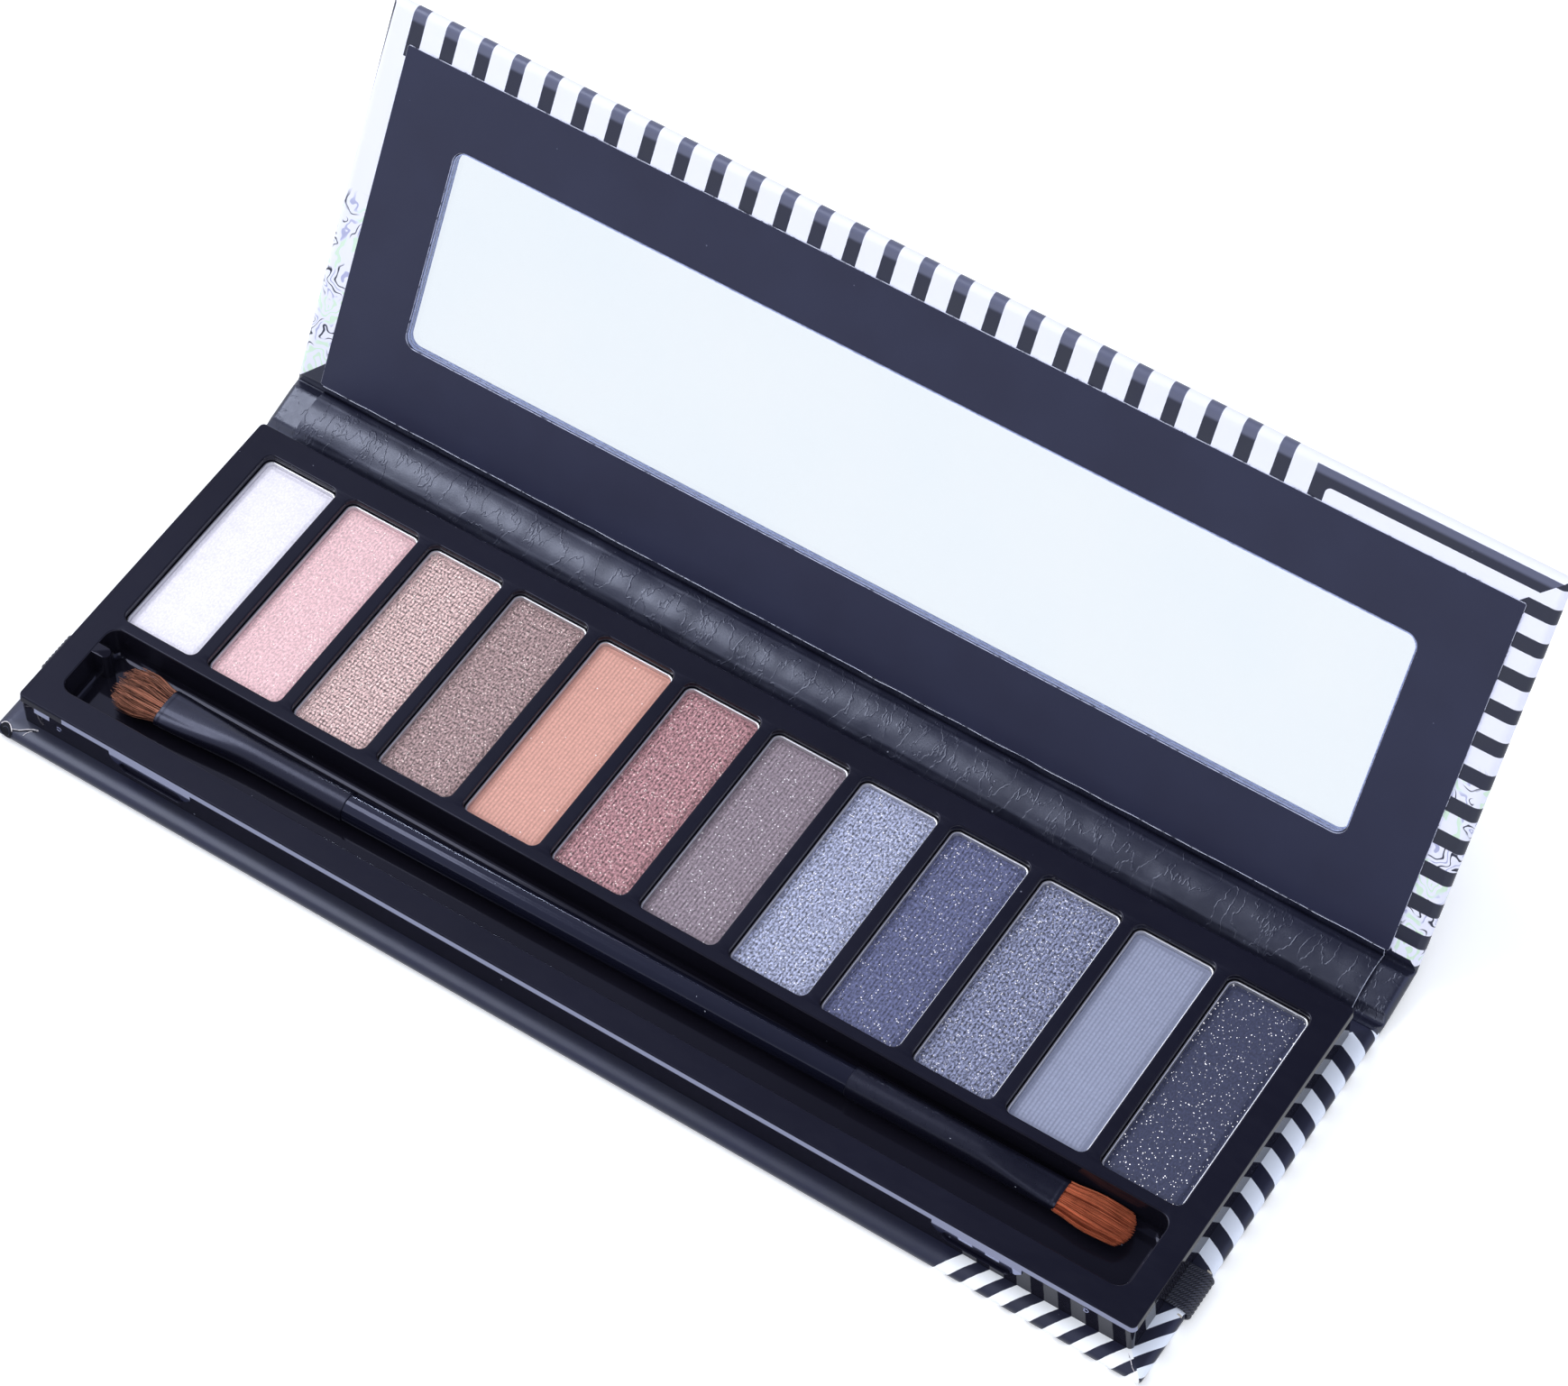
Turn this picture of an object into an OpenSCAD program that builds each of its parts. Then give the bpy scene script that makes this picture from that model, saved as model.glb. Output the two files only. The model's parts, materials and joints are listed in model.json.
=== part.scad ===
// Book-style eyeshadow palette: a wrapped-board case whose lid opens on two paper hinges,
// a moulded tray of twelve pressed-powder pans with a brush trough, and a two-ended brush.
// Millimetres, +X along the long side, +Y towards the hinge, +Z up.
// The origin is the bottom centre of the whole object, with the lid open.

/* [Case] */
// Length of the closed case along its long side
case_w = 196; // [190:1:210]
// Thickness of one wrapped board
board_t = 2.4; // [2.2:0.1:3]
// Thickness of the wrapping paper
wrap_t = 0.2; // [0.15:0.05:0.3]
// Rim of the base board in front of and behind the tray
base_rim = 3; // [2.5:0.5:5]
// Width of the spine board
spine_w = 7.7; // [7.5:0.1:9]
// Gap between two boards at a paper hinge
hinge_gap = 1.55; // [1.5:0.05:2]
// Distance from the lid's hinge to its outer edge
lid_d = 65.6; // [65:0.1:67]

/* [Open position] */
// Angle of the lid above the table
lid_angle = 60.5; // [45:0.5:80]
// Angle of the spine above the table
spine_angle = 15; // [5:1:20]

/* [Tray] */
// Width of the tray
tray_w = 190; // [188:1:192]
// Depth of the tray from front to back
tray_d = 60.2; // [60:0.1:61]
// Height of the tray above the base board
tray_h = 6.4; // [6.2:0.1:6.6]
// Number of powder pans
pan_count = 12; // [4:1:12]
// Distance between neighbouring pan openings
pan_pitch = 15.27; // [15.1:0.01:15.4]
// Width of one pan opening
well_w = 13.2; // [12:0.1:13.4]
// Depth of one pan opening from front to back
well_d = 36.4; // [34:0.1:36.6]
// Length of the brush trough
trough_w = 181.2; // [180:0.1:182]
// Width of the brush trough
trough_d = 13; // [12:0.1:13.2]

/* [Mirror] */
// Width of the mirror
mirror_w = 162.6; // [150:0.1:170]
// Height of the mirror
mirror_h = 33.1; // [28:0.1:36]

/* [Brush] */
// Length of the handle between the ferrules
handle_len = 85.5; // [80:0.5:90]
// Diameter of the handle
handle_dia = 4.3; // [4:0.1:4.5]
// Outer diameter of the ferrules
ferrule_dia = 4.75; // [4.6:0.05:4.9]

/* [Band] */
// Width of the elastic band
band_w = 7; // [5:0.5:8]
// Thickness of the elastic band
band_t = 0.7; // [0.6:0.05:0.8]

/* [Hidden] */
$fn = 48;
eps = 0.01;
far = 300;

pan_names = [for (i = [1 : pan_count]) str("pan_", i < 10 ? "0" : "", i)];
shadow_names = [for (i = [1 : pan_count]) str("shadow_", i < 10 ? "0" : "", i)];

// Base board: y = 0 is the tray's front edge and z = 0 the underside of the base.
base_front = -base_rim;
base_back = tray_d + base_rim;
turn_in = 12;
seal = 0.05;

// Hinges: the spine turns on the base's back edge and the lid on the spine's far edge.
hinge_y = base_back + hinge_gap / 2;
hinge_z = board_t / 2;
hinge_pitch = spine_w + hinge_gap;
crease_t = 2 * wrap_t;
crease_r = crease_t / 2;
crease_gap = 0.3;

// Groove under the base that lets the elastic band lie flush.
groove_y0 = 8.6;
groove_y1 = groove_y0 + band_w + 0.8;
groove_h = band_t + seal;
band_y = (groove_y0 + groove_y1 - band_w) / 2;
pocket_x0 = 78;
pocket_x1 = 93.9;
pocket_z = board_t - band_t - seal;

// Tray: a top moulding snapped over a flat base moulding.
tray_z0 = board_t;
tray_z1 = tray_z0 + tray_h;
tape_t = 0.1;
top_t = 1.2;
skirt_t = 1.1;
skirt_inset = 0.25;
tray_base_t = 1.1;
tray_base_z1 = tray_z0 + tape_t + tray_base_t;
trough_y0 = 4.5;
trough_y1 = trough_y0 + trough_d;
trough_floor_z = tray_z0 + 1;
trough_wall = 0.8;
corner_r = 2;
well_y0 = trough_y1 + 1.9;
well_y1 = well_y0 + well_d;
well_span = (pan_count - 1) * pan_pitch + well_w;
well_wall = 1;
well_r = 1.4;
base_fit = 0.3;

// Snap windows: slots in the skirt that the base moulding's hooks reach into.
slot_h = 2.05;
slot_z = tray_z1 - 3.58;
slot_left = [-76.5, -65.3];
slot_right = [64.6, 75.5];
slot_margin = 1.8;
bulge_low_z = tray_z1 - 3.3;
tab_t = 0.8;

// Pans and powder.
pan_fit = 0.1;
pan_wall = 0.3;
glue_t = 0.1;
pan_z0 = tray_base_z1 + glue_t;
pan_z1 = tray_z1 - top_t;
powder_drop = 0.4;

// Lid: two plies, the front one cut out for the mirror.
lid_edge = hinge_gap / 2;
ply_split = -0.1;
mirror_s0 = 14.7;
mirror_fit = 0.15;
mirror_t = 1.35;
liner_t = 0.25;
liner_s0 = 1.8;
liner_s1 = 59.8;
liner_w = 186.8;

// Brush: ferrules are round at the handle and pressed flat at the tuft.
brush_x = -1.25;
brush_y = 12.6;
brush_turn = 0.8;
brush_z = trough_floor_z + ferrule_dia / 2 + seal;
ferrule_wall = 0.3;
tenon_len = 8;
left_round = 16;
left_len = 32.8;
right_round = 20;
right_len = 34;
crimp_t = 2.4;
tuft_root = 6;

// Shift that puts the origin at the bottom centre of the open palette.
lid_hinge_y = hinge_y + hinge_pitch * cos(spine_angle);
lid_tip_y = lid_hinge_y + (lid_d - board_t / 2) * cos(lid_angle) + board_t / 2;
centre_y = (base_front + lid_tip_y) / 2;

// ---- Frames ----

// Places base parts, drawn with y = 0 at the tray's front edge.
module base_frame() {
    translate([0, -centre_y, 0]) children();
}

// Places spine parts, drawn with y along the spine from the first hinge.
module spine_frame() {
    base_frame() translate([0, hinge_y, hinge_z]) rotate([spine_angle, 0, 0]) children();
}

// Places lid parts, drawn with y along the lid from the second hinge.
module lid_frame() {
    spine_frame() translate([0, hinge_pitch, 0]) rotate([lid_angle - spine_angle, 0, 0]) children();
}

// Places brush parts, drawn along X with the handle's middle at the origin.
module brush_frame() {
    base_frame() translate([brush_x, brush_y, brush_z]) rotate([0, 0, brush_turn]) children();
}

// ---- Shared shapes ----

module box(low, high) {
    translate(low) cube(high - low);
}

// Bar outline from a to b with round ends, centred on y = 0.
module round_bar(a, b, t) {
    translate([a + t / 2, -t / 2]) square([b - a - t, t]);
    translate([a + t / 2, 0]) circle(d = t);
    translate([b - t / 2, 0]) circle(d = t);
}

// Extrudes an outline drawn in the Y-Z plane along X, centred on x = 0.
module along_x(len) {
    rotate([90, 0, 90]) linear_extrude(len, center = true) children();
}

// Extrudes an outline drawn in the X-Z plane along Y, from y0 to y1.
module along_y(y0, y1) {
    translate([0, y1, 0]) rotate([90, 0, 0]) linear_extrude(y1 - y0) children();
}

// Board with half-round edges and mitred corners, centred on z = 0.
module soft_board(half_w, y0, y1, t) {
    intersection() {
        along_x(2 * half_w) round_bar(y0, y1, t);
        along_y(y0, y1) round_bar(-half_w, half_w, t);
    }
}

// Rectangle with round corners.
module round_rect(x0, x1, y0, y1, r) {
    translate([x0 + r, y0]) square([x1 - x0 - 2 * r, y1 - y0]);
    translate([x0, y0 + r]) square([x1 - x0, y1 - y0 - 2 * r]);
    for (x = [x0 + r, x1 - r], y = [y0 + r, y1 - r]) translate([x, y]) circle(r = r);
}

module round_block(x0, x1, y0, y1, r, z0, z1) {
    translate([0, 0, z0]) linear_extrude(z1 - z0) round_rect(x0, x1, y0, y1, r);
}

// Creased paper that spans half a hinge gap, from y0 to y1, as wide as its board.
module crease(half_w, y0, y1) {
    box([-half_w, y0, -crease_r], [half_w, y1, crease_r]);
}

module crease_pivot(half_w, y) {
    translate([-half_w, y, 0]) rotate([0, 90, 0]) cylinder(r = crease_r, h = 2 * half_w);
}

// ---- Base ----

// Base board outline, drawn inwards from the wrapped surface by inset.
module base_outline(inset) {
    half_w = case_w / 2 - inset;
    thin_t = board_t - groove_h - 2 * inset;
    y0 = groove_y0 - inset;
    y1 = groove_y1 + inset;
    difference() {
        translate([0, 0, board_t / 2])
            soft_board(half_w, base_front + inset, base_back - inset, board_t - 2 * inset);
        box([-far, y0, -far], [far, y1, far]);
    }
    translate([0, 0, (board_t + groove_h) / 2]) along_y(y0, y1) round_bar(-half_w, half_w, thin_t);
}

// Shallow pockets in the board's upper face that take the ends of the elastic band.
module band_pockets() {
    for (side = [0, 1]) mirror([side, 0, 0])
        box([pocket_x0, groove_y0, pocket_z], [pocket_x1, groove_y1, far]);
}

module base_board() {
    color("tan") base_frame() difference() {
        base_outline(wrap_t);
        band_pockets();
    }
}

module liner_window(low_z, high_z) {
    half_w = case_w / 2 - turn_in;
    box([-half_w, base_front + turn_in, low_z], [half_w, base_back - turn_in, high_z]);
}

module base_wrap() {
    crease_half_w = case_w / 2 - 1;
    color("black") base_frame() {
        difference() {
            base_outline(0);
            base_outline(wrap_t);
            liner_window(board_t - wrap_t, far);
            band_pockets();
        }
        translate([0, 0, hinge_z]) {
            crease(crease_half_w, base_back - wrap_t / 2, hinge_y);
            crease_pivot(crease_half_w, hinge_y);
        }
    }
}

module base_liner() {
    color("dimgray") base_frame() difference() {
        liner_window(board_t - wrap_t, board_t);
        band_pockets();
    }
}

module tray_tape() {
    strip_w = 4;
    strip_half_len = 80;
    color("gainsboro") base_frame() for (y = [well_y0 + 6, well_y1 - 6 - strip_w])
        box([-strip_half_len, y, tray_z0], [strip_half_len, y + strip_w, tray_z0 + tape_t]);
}

// ---- Tray ----

// Room for the elastic band where it passes under the tray's ends.
module band_notch() {
    box([-far, groove_y0, -far], [far, groove_y1, tray_z0 + band_t + seal]);
}

// Upright tab of the tray's base moulding, with a hook that reaches into a snap window.
module snap_tab(span) {
    hook_reach = 0.9;
    hook_h = 0.6;
    wall_y = skirt_inset + skirt_t + seal;
    x0 = span[0] + 1;
    x1 = span[1] - 1;
    box([x0, wall_y, tray_base_z1 - eps], [x1, wall_y + tab_t, slot_z + slot_h]);
    box([x0, wall_y - hook_reach, slot_z - hook_h / 2], [x1, wall_y + eps, slot_z + hook_h / 2]);
}

module at_snap_sides() {
    children();
    translate([0, tray_d, 0]) mirror([0, 1, 0]) children();
}

module tray_base() {
    half_w = tray_w / 2 - skirt_inset - skirt_t - seal;
    y0 = skirt_inset + skirt_t + seal;
    trough_half = trough_w / 2 + trough_wall + base_fit;
    trough_low_y = trough_y0 - trough_wall - base_fit;
    trough_high_y = trough_y1 + trough_wall + base_fit;
    color("#26262b") base_frame() {
        difference() {
            box([-half_w, y0, tray_z0 + tape_t], [half_w, tray_d - y0, tray_base_z1]);
            box([-trough_half, trough_low_y, -far], [trough_half, trough_high_y, far]);
            band_notch();
        }
        at_snap_sides() {
            snap_tab(slot_left);
            snap_tab(slot_right);
        }
    }
}

// Thickened lip of the skirt around one snap window.
module snap_bulge(span) {
    box([span[0] - slot_margin, 0, bulge_low_z], [span[1] + slot_margin, skirt_inset + eps, tray_z1 - eps]);
}

module snap_slot(span) {
    translate([0, 0, slot_z]) along_y(-1, skirt_inset + skirt_t + seal)
        round_bar(span[0], span[1], slot_h);
}

// Ribs between and around the powder pans.
module well_block() {
    half_w = well_span / 2 + well_wall;
    box([-half_w, trough_y1, tray_base_z1], [half_w, well_y1 + well_wall, tray_z1 - eps]);
}

module wells() {
    for (i = [0 : pan_count - 1]) {
        x0 = i * pan_pitch - well_span / 2;
        round_block(x0, x0 + well_w, well_y0, well_y1, well_r, tray_z0, far);
    }
}

module skirt() {
    half_w = tray_w / 2 - skirt_inset;
    in_half_w = half_w - skirt_t;
    y0 = skirt_inset;
    difference() {
        box([-half_w, y0, tray_z0], [half_w, tray_d - y0, tray_z1 - eps]);
        box([-in_half_w, y0 + skirt_t, -far], [in_half_w, tray_d - y0 - skirt_t, far]);
        band_notch();
    }
}

module trough_shell() {
    half_w = trough_w / 2 + trough_wall;
    z0 = trough_floor_z - trough_wall;
    box([-half_w, trough_y0 - trough_wall, z0], [half_w, trough_y1 + trough_wall, tray_z1 - eps]);
}

// Small rib at the trough's left end.
module trough_nub() {
    nub_y = 13.05;
    nub_w = 1.9;
    nub_len = 2.7;
    nub_drop = 0.1;
    x0 = -trough_w / 2 - eps;
    x1 = x0 + nub_len - nub_w / 2;
    z0 = trough_floor_z - eps;
    nub_h = tray_z1 - nub_drop - z0;
    translate([0, 0, z0]) linear_extrude(nub_h) {
        translate([x0, nub_y - nub_w / 2]) square([x1 - x0, nub_w]);
        translate([x1, nub_y]) circle(d = nub_w);
    }
}

module tray_top() {
    half_w = tray_w / 2;
    half_trough = trough_w / 2;
    edge_r = 0.7;
    color("#1d1d22") base_frame() {
        difference() {
            union() {
                round_block(-half_w, half_w, 0, tray_d, edge_r, tray_z1 - top_t, tray_z1);
                skirt();
                well_block();
                trough_shell();
                at_snap_sides() {
                    snap_bulge(slot_left);
                    snap_bulge(slot_right);
                }
            }
            wells();
            round_block(-half_trough, half_trough, trough_y0, trough_y1, corner_r, trough_floor_z, far);
            at_snap_sides() {
                snap_slot(slot_left);
                snap_slot(slot_right);
            }
        }
        trough_nub();
    }
}

// ---- Pans ----

PAN_COLOURS = [
    "#e8e4ea", "#efd9dd", "#b98f7c", "#8d6f60", "#cf8f76", "#5f3335",
    "#8c8484", "#a9b4c6", "#3c465c", "#9a9aa2", "#c9c4cc", "#44444b"
];

module pan_block(i, inset, r, z0, z1) {
    x0 = i * pan_pitch - well_span / 2;
    round_block(x0 + inset, x0 + well_w - inset, well_y0 + inset, well_y1 - inset, r, z0, z1);
}

module pan_glue() {
    dot_r = 3.5;
    color("ivory") base_frame() for (i = [0 : pan_count - 1])
        translate([i * pan_pitch - (well_span - well_w) / 2, (well_y0 + well_y1) / 2, tray_base_z1])
            cylinder(r = dot_r, h = glue_t);
}

module pan(i) {
    inset = pan_fit + pan_wall;
    color("silver") base_frame() difference() {
        pan_block(i, pan_fit, well_r - pan_fit, pan_z0, pan_z1);
        pan_block(i, inset, well_r - inset, pan_z0 + pan_wall, far);
    }
}

module shadow(i) {
    inset = pan_fit + pan_wall;
    color(PAN_COLOURS[i]) base_frame()
        pan_block(i, inset, well_r - inset, pan_z0 + pan_wall, pan_z1 - powder_drop);
}

// ---- Elastic band ----

// Half of the band's outline in the X-Z plane: under the base, round its edge and over
// the rim, then down into the pocket beneath the tray.
module band_half() {
    edge_r = (board_t - groove_h) / 2;
    edge_x = case_w / 2 - edge_r;
    edge_z = board_t - edge_r;
    ramp_x = 2 * band_t;
    ramp_start = pocket_x1 + 0.3;
    tail_x = pocket_x0 + 1;
    square([edge_x, band_t]);
    translate([edge_x, edge_z]) intersection() {
        difference() {
            circle(r = edge_r + band_t);
            circle(r = edge_r);
        }
        translate([0, -far / 2]) square([far, far]);
    }
    polygon([
        [edge_x, board_t], [edge_x, board_t + band_t], [ramp_start, board_t + band_t],
        [pocket_x1 - ramp_x, board_t], [tail_x, board_t], [tail_x, board_t - band_t],
        [ramp_start - ramp_x, board_t - band_t], [pocket_x1 - 0.1, board_t]
    ]);
}

module elastic_band() {
    color("#202024") base_frame() along_y(band_y, band_y + band_w) {
        band_half();
        mirror([1, 0]) band_half();
    }
}

// ---- Spine ----

spine_y0 = hinge_gap / 2;
spine_y1 = spine_y0 + spine_w;
spine_liner_margin = 1.4;
spine_liner_half = 94;

module spine_liner_block(low_z, high_z) {
    box([-spine_liner_half, spine_y0 + spine_liner_margin, low_z],
        [spine_liner_half, spine_y1 - spine_liner_margin, high_z]);
}

module spine_board() {
    color("tan") spine_frame()
        soft_board(case_w / 2 - wrap_t, spine_y0 + wrap_t, spine_y1 - wrap_t, board_t - 2 * wrap_t);
}

module spine_wrap() {
    crease_half_w = case_w / 2 - 1;
    color("black") spine_frame() {
        difference() {
            soft_board(case_w / 2, spine_y0, spine_y1, board_t);
            soft_board(case_w / 2 - wrap_t, spine_y0 + wrap_t, spine_y1 - wrap_t, board_t - 2 * wrap_t);
            spine_liner_block(board_t / 2 - wrap_t, far);
        }
        crease(crease_half_w, crease_gap, spine_y0 + wrap_t / 2);
        crease(crease_half_w, spine_y1 - wrap_t / 2, hinge_pitch);
        crease_pivot(crease_half_w, hinge_pitch);
    }
}

module spine_liner() {
    color("#101013") spine_frame() spine_liner_block(board_t / 2 - wrap_t, board_t / 2);
}

// ---- Lid ----

module lid_core() {
    soft_board(case_w / 2 - wrap_t, lid_edge + wrap_t, lid_d - wrap_t, board_t - 2 * wrap_t);
}

module mirror_opening() {
    half_w = mirror_w / 2 + mirror_fit;
    box([-half_w, mirror_s0 - mirror_fit, ply_split], [half_w, mirror_s0 + mirror_h + mirror_fit, far]);
}

module lid_back_ply() {
    color("tan") lid_frame() intersection() {
        lid_core();
        box([-far, -far, -far], [far, far, ply_split]);
    }
}

module lid_window_ply() {
    color("burlywood") lid_frame() difference() {
        lid_core();
        box([-far, -far, -far], [far, far, ply_split]);
        mirror_opening();
    }
}

module lid_wrap() {
    color("white") lid_frame() {
        difference() {
            soft_board(case_w / 2, lid_edge, lid_d, board_t);
            lid_core();
            mirror_opening();
        }
        crease(case_w / 2 - 1, crease_gap, lid_edge + wrap_t / 2);
    }
}

module lid_liner() {
    color("#141417") lid_frame() difference() {
        box([-liner_w / 2, liner_s0, board_t / 2], [liner_w / 2, liner_s1, board_t / 2 + liner_t]);
        mirror_opening();
    }
}

module mirror_tape() {
    strip_w = 6;
    inset = 4;
    half_w = mirror_w / 2 - inset;
    color("ivory") lid_frame()
        for (s = [mirror_s0 + inset, mirror_s0 + mirror_h - inset - strip_w])
            box([-half_w, s, ply_split], [half_w, s + strip_w, ply_split + tape_t]);
}

module mirror_glass() {
    half_w = mirror_w / 2;
    z0 = ply_split + tape_t;
    color("lightsteelblue") lid_frame()
        round_block(-half_w, half_w, mirror_s0, mirror_s0 + mirror_h, corner_r, z0, z0 + mirror_t);
}

// ---- Brush ----

tenon_r = ferrule_dia / 2 - ferrule_wall - 0.02;

module brush_handle() {
    half = handle_len / 2;
    color("#17171b") brush_frame() rotate([0, 90, 0]) rotate_extrude() polygon([
        [0, -half - tenon_len], [tenon_r, -half - tenon_len], [tenon_r, -half],
        [handle_dia / 2, -half], [handle_dia / 2, half],
        [tenon_r, half], [tenon_r, half + tenon_len], [0, half + tenon_len]
    ]);
}

// Thin upright slice of a flattened tube, w wide and t thick, at x.
module flat_slice(x, w, t) {
    slice_t = 0.02;
    translate([x, 0, 0]) rotate([0, 90, 0]) for (side = [-1, 1])
        translate([0, side * (w - t) / 2, 0]) cylinder(d = t, h = slice_t, $fn = 32);
}

// Ferrule drawn from x = 0 at the handle; its far end is pressed to end_w by crimp_t.
module ferrule(round_len, len, end_w) {
    tube_r = ferrule_dia / 2;
    bore_r = tube_r - ferrule_wall;
    mid = (round_len + len) / 2;
    mid_t = crimp_t + 0.4;
    difference() {
        union() {
            rotate([0, 90, 0]) cylinder(r = tube_r, h = round_len);
            hull() {
                flat_slice(round_len, ferrule_dia, ferrule_dia);
                flat_slice(mid, end_w, mid_t);
                flat_slice(len, end_w, crimp_t);
            }
        }
        translate([-eps, 0, 0]) rotate([0, 90, 0]) cylinder(r = bore_r, h = round_len + 2 * eps);
        hull() {
            flat_slice(round_len, 2 * bore_r, 2 * bore_r);
            flat_slice(mid, end_w - 2 * ferrule_wall, mid_t - 2 * ferrule_wall);
            flat_slice(len + 1, end_w - 2 * ferrule_wall, crimp_t - 2 * ferrule_wall);
        }
    }
}

// Bristle tuft drawn from x = 0 at the ferrule's mouth, fullest at a third of its length.
// Its root fits inside a ferrule pressed to end_w.
module tuft(len, end_w, full_w, full_t, tip_w, tip_t) {
    root_fit = 2 * ferrule_wall + 0.1;
    root_w = end_w - root_fit;
    root_t = crimp_t - root_fit;
    hull() {
        flat_slice(-tuft_root, root_w, root_t);
        flat_slice(0, root_w, root_t);
    }
    hull() {
        flat_slice(0, root_w, root_t);
        flat_slice(len * 0.35, full_w, full_t);
        flat_slice(len * 0.65, full_w, full_t * 0.8);
        flat_slice(len * 0.88, full_w * 0.75, tip_t * 1.3);
        flat_slice(len, tip_w, tip_t);
    }
}

module left_end() {
    brush_frame() mirror([1, 0, 0]) translate([handle_len / 2, 0, 0]) children();
}

module right_end() {
    brush_frame() translate([handle_len / 2, 0, 0]) children();
}

left_end_w = 6.6;
right_end_w = 5.2;
tuft_left_len = 9.3;
tuft_right_len = 11.3;

module brush_ferrule_left() {
    color("#2b2b30") left_end() ferrule(left_round, left_len, left_end_w);
}

module brush_ferrule_right() {
    color("#2b2b30") right_end() ferrule(right_round, right_len, right_end_w);
}

module brush_tuft_left() {
    color("#7a4a3a") left_end() translate([left_len, 0, 0])
        tuft(tuft_left_len, left_end_w, 7.8, 3.4, 3.2, 1.2);
}

module brush_tuft_right() {
    color("#b5603f") right_end() translate([right_len, 0, 0])
        tuft(tuft_right_len, right_end_w, 6.2, 2.6, 3.4, 1);
}

// ---- Parts ----

base_board();
base_wrap();
base_liner();
tray_tape();
tray_base();
tray_top();
pan_glue();
for (i = [0 : pan_count - 1]) {
    pan(i);
    shadow(i);
}
elastic_band();
spine_board();
spine_wrap();
spine_liner();
lid_back_ply();
lid_window_ply();
lid_wrap();
lid_liner();
mirror_tape();
mirror_glass();
brush_handle();
brush_ferrule_left();
brush_ferrule_right();
brush_tuft_left();
brush_tuft_right();
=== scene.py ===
"""Looks for an open book-style eyeshadow palette: wrapped-board case, moulded tray, twelve pans and a brush.

Every size is in millimetres in the frame of the board that carries the piece, and becomes metres
in the row frame when a mesh is made.
"""

from __future__ import annotations

import json
import logging
import random
from collections.abc import Callable, Sequence
from dataclasses import dataclass, field
from enum import Enum, IntEnum
from math import asin, copysign, cos, dist, exp, hypot, pi, radians, sin, sqrt, tau

import bmesh
import bpy
import numpy as np
from mathutils import Matrix, Vector, noise
from mathutils.geometry import tessellate_polygon

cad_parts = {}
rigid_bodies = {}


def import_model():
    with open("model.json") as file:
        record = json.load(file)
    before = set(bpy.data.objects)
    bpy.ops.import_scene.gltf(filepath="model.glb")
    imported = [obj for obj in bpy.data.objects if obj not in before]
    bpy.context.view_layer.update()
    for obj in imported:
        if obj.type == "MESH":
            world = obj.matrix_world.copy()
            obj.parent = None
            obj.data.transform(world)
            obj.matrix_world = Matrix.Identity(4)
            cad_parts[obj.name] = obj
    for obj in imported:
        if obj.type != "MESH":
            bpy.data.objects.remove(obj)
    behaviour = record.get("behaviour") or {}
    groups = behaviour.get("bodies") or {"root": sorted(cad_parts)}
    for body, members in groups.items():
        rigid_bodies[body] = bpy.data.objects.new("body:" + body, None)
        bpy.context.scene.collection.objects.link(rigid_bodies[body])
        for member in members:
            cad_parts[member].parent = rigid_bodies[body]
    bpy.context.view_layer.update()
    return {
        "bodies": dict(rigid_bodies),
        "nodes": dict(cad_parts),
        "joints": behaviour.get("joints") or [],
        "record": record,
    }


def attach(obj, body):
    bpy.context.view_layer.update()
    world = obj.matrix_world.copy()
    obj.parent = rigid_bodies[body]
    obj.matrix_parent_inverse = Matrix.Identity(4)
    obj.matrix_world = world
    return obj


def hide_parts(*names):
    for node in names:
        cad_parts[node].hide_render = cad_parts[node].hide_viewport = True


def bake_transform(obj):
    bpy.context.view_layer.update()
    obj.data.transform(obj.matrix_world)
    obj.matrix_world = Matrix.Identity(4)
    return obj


LOG = logging.getLogger("palette")
MM = 0.001
WELD = 0.002
SLIVER = 0.0005
CENTRE_Y = 51.41094558
SEED = 20

Point = tuple[float, float, float]
Flat = tuple[float, float]
Rows = Sequence[Sequence[Point]]
FlatRows = Sequence[Sequence[Flat]]
Colour = tuple[float, float, float, float]
Piece = bpy.types.Object
Socket = bpy.types.NodeSocket
Sockets = dict[str, Socket]
Value = float | Sequence[float] | Socket
Finishes = Sequence["Finish"]
Aim = Callable[[Vector], Vector]


# ---- Frames and meshes ----


@dataclass(frozen=True)
class Board:
    """A board's own frame: x along the case, s across the board and n out of its inner face."""

    y: float
    z: float
    tilt: float = 0.0
    x: float = 0.0
    turn: float = 0.0

    def matrix(self) -> Matrix:
        """The frame as a matrix from millimetres to metres in the row frame."""
        place = Matrix.Translation(Vector((self.x, self.y - CENTRE_Y, self.z)) * MM)
        spin = Matrix.Rotation(radians(self.turn), 4, "Z") @ Matrix.Rotation(radians(self.tilt), 4, "X")
        return place @ spin @ Matrix.Scale(MM, 4)

    def at(self, x: float, s: float, n: float) -> Vector:
        """The row-frame place, in metres, of a point on this board."""
        return self.matrix() @ Vector((x, s, n))


TABLE = Board(0.0, 0.0)
BASE = Board(0.0, 1.2)
SPINE = Board(63.975, 1.2, tilt=15.0)
LID = Board(72.910, 3.594, tilt=60.5)
BRUSH = Board(12.6, 5.825, x=-1.25, turn=0.8)


def smooth(value: float, low: float = 0.0, high: float = 1.0) -> float:
    """Smooth step from 0 at low to 1 at high."""
    t = min(1.0, max(0.0, (value - low) / (high - low)))
    return t * t * (3 - 2 * t)


def wander(x: float, y: float, size: float, salt: float = 0.0) -> float:
    """Smooth noise from about -1 to 1 with features of that size."""
    return noise.noise(Vector((x / size, y / size, salt)))


def spread(low: float, high: float, count: int) -> list[float]:
    """Evenly spaced numbers, both ends included."""
    return [low + (high - low) * k / (count - 1) for k in range(count)]


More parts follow.
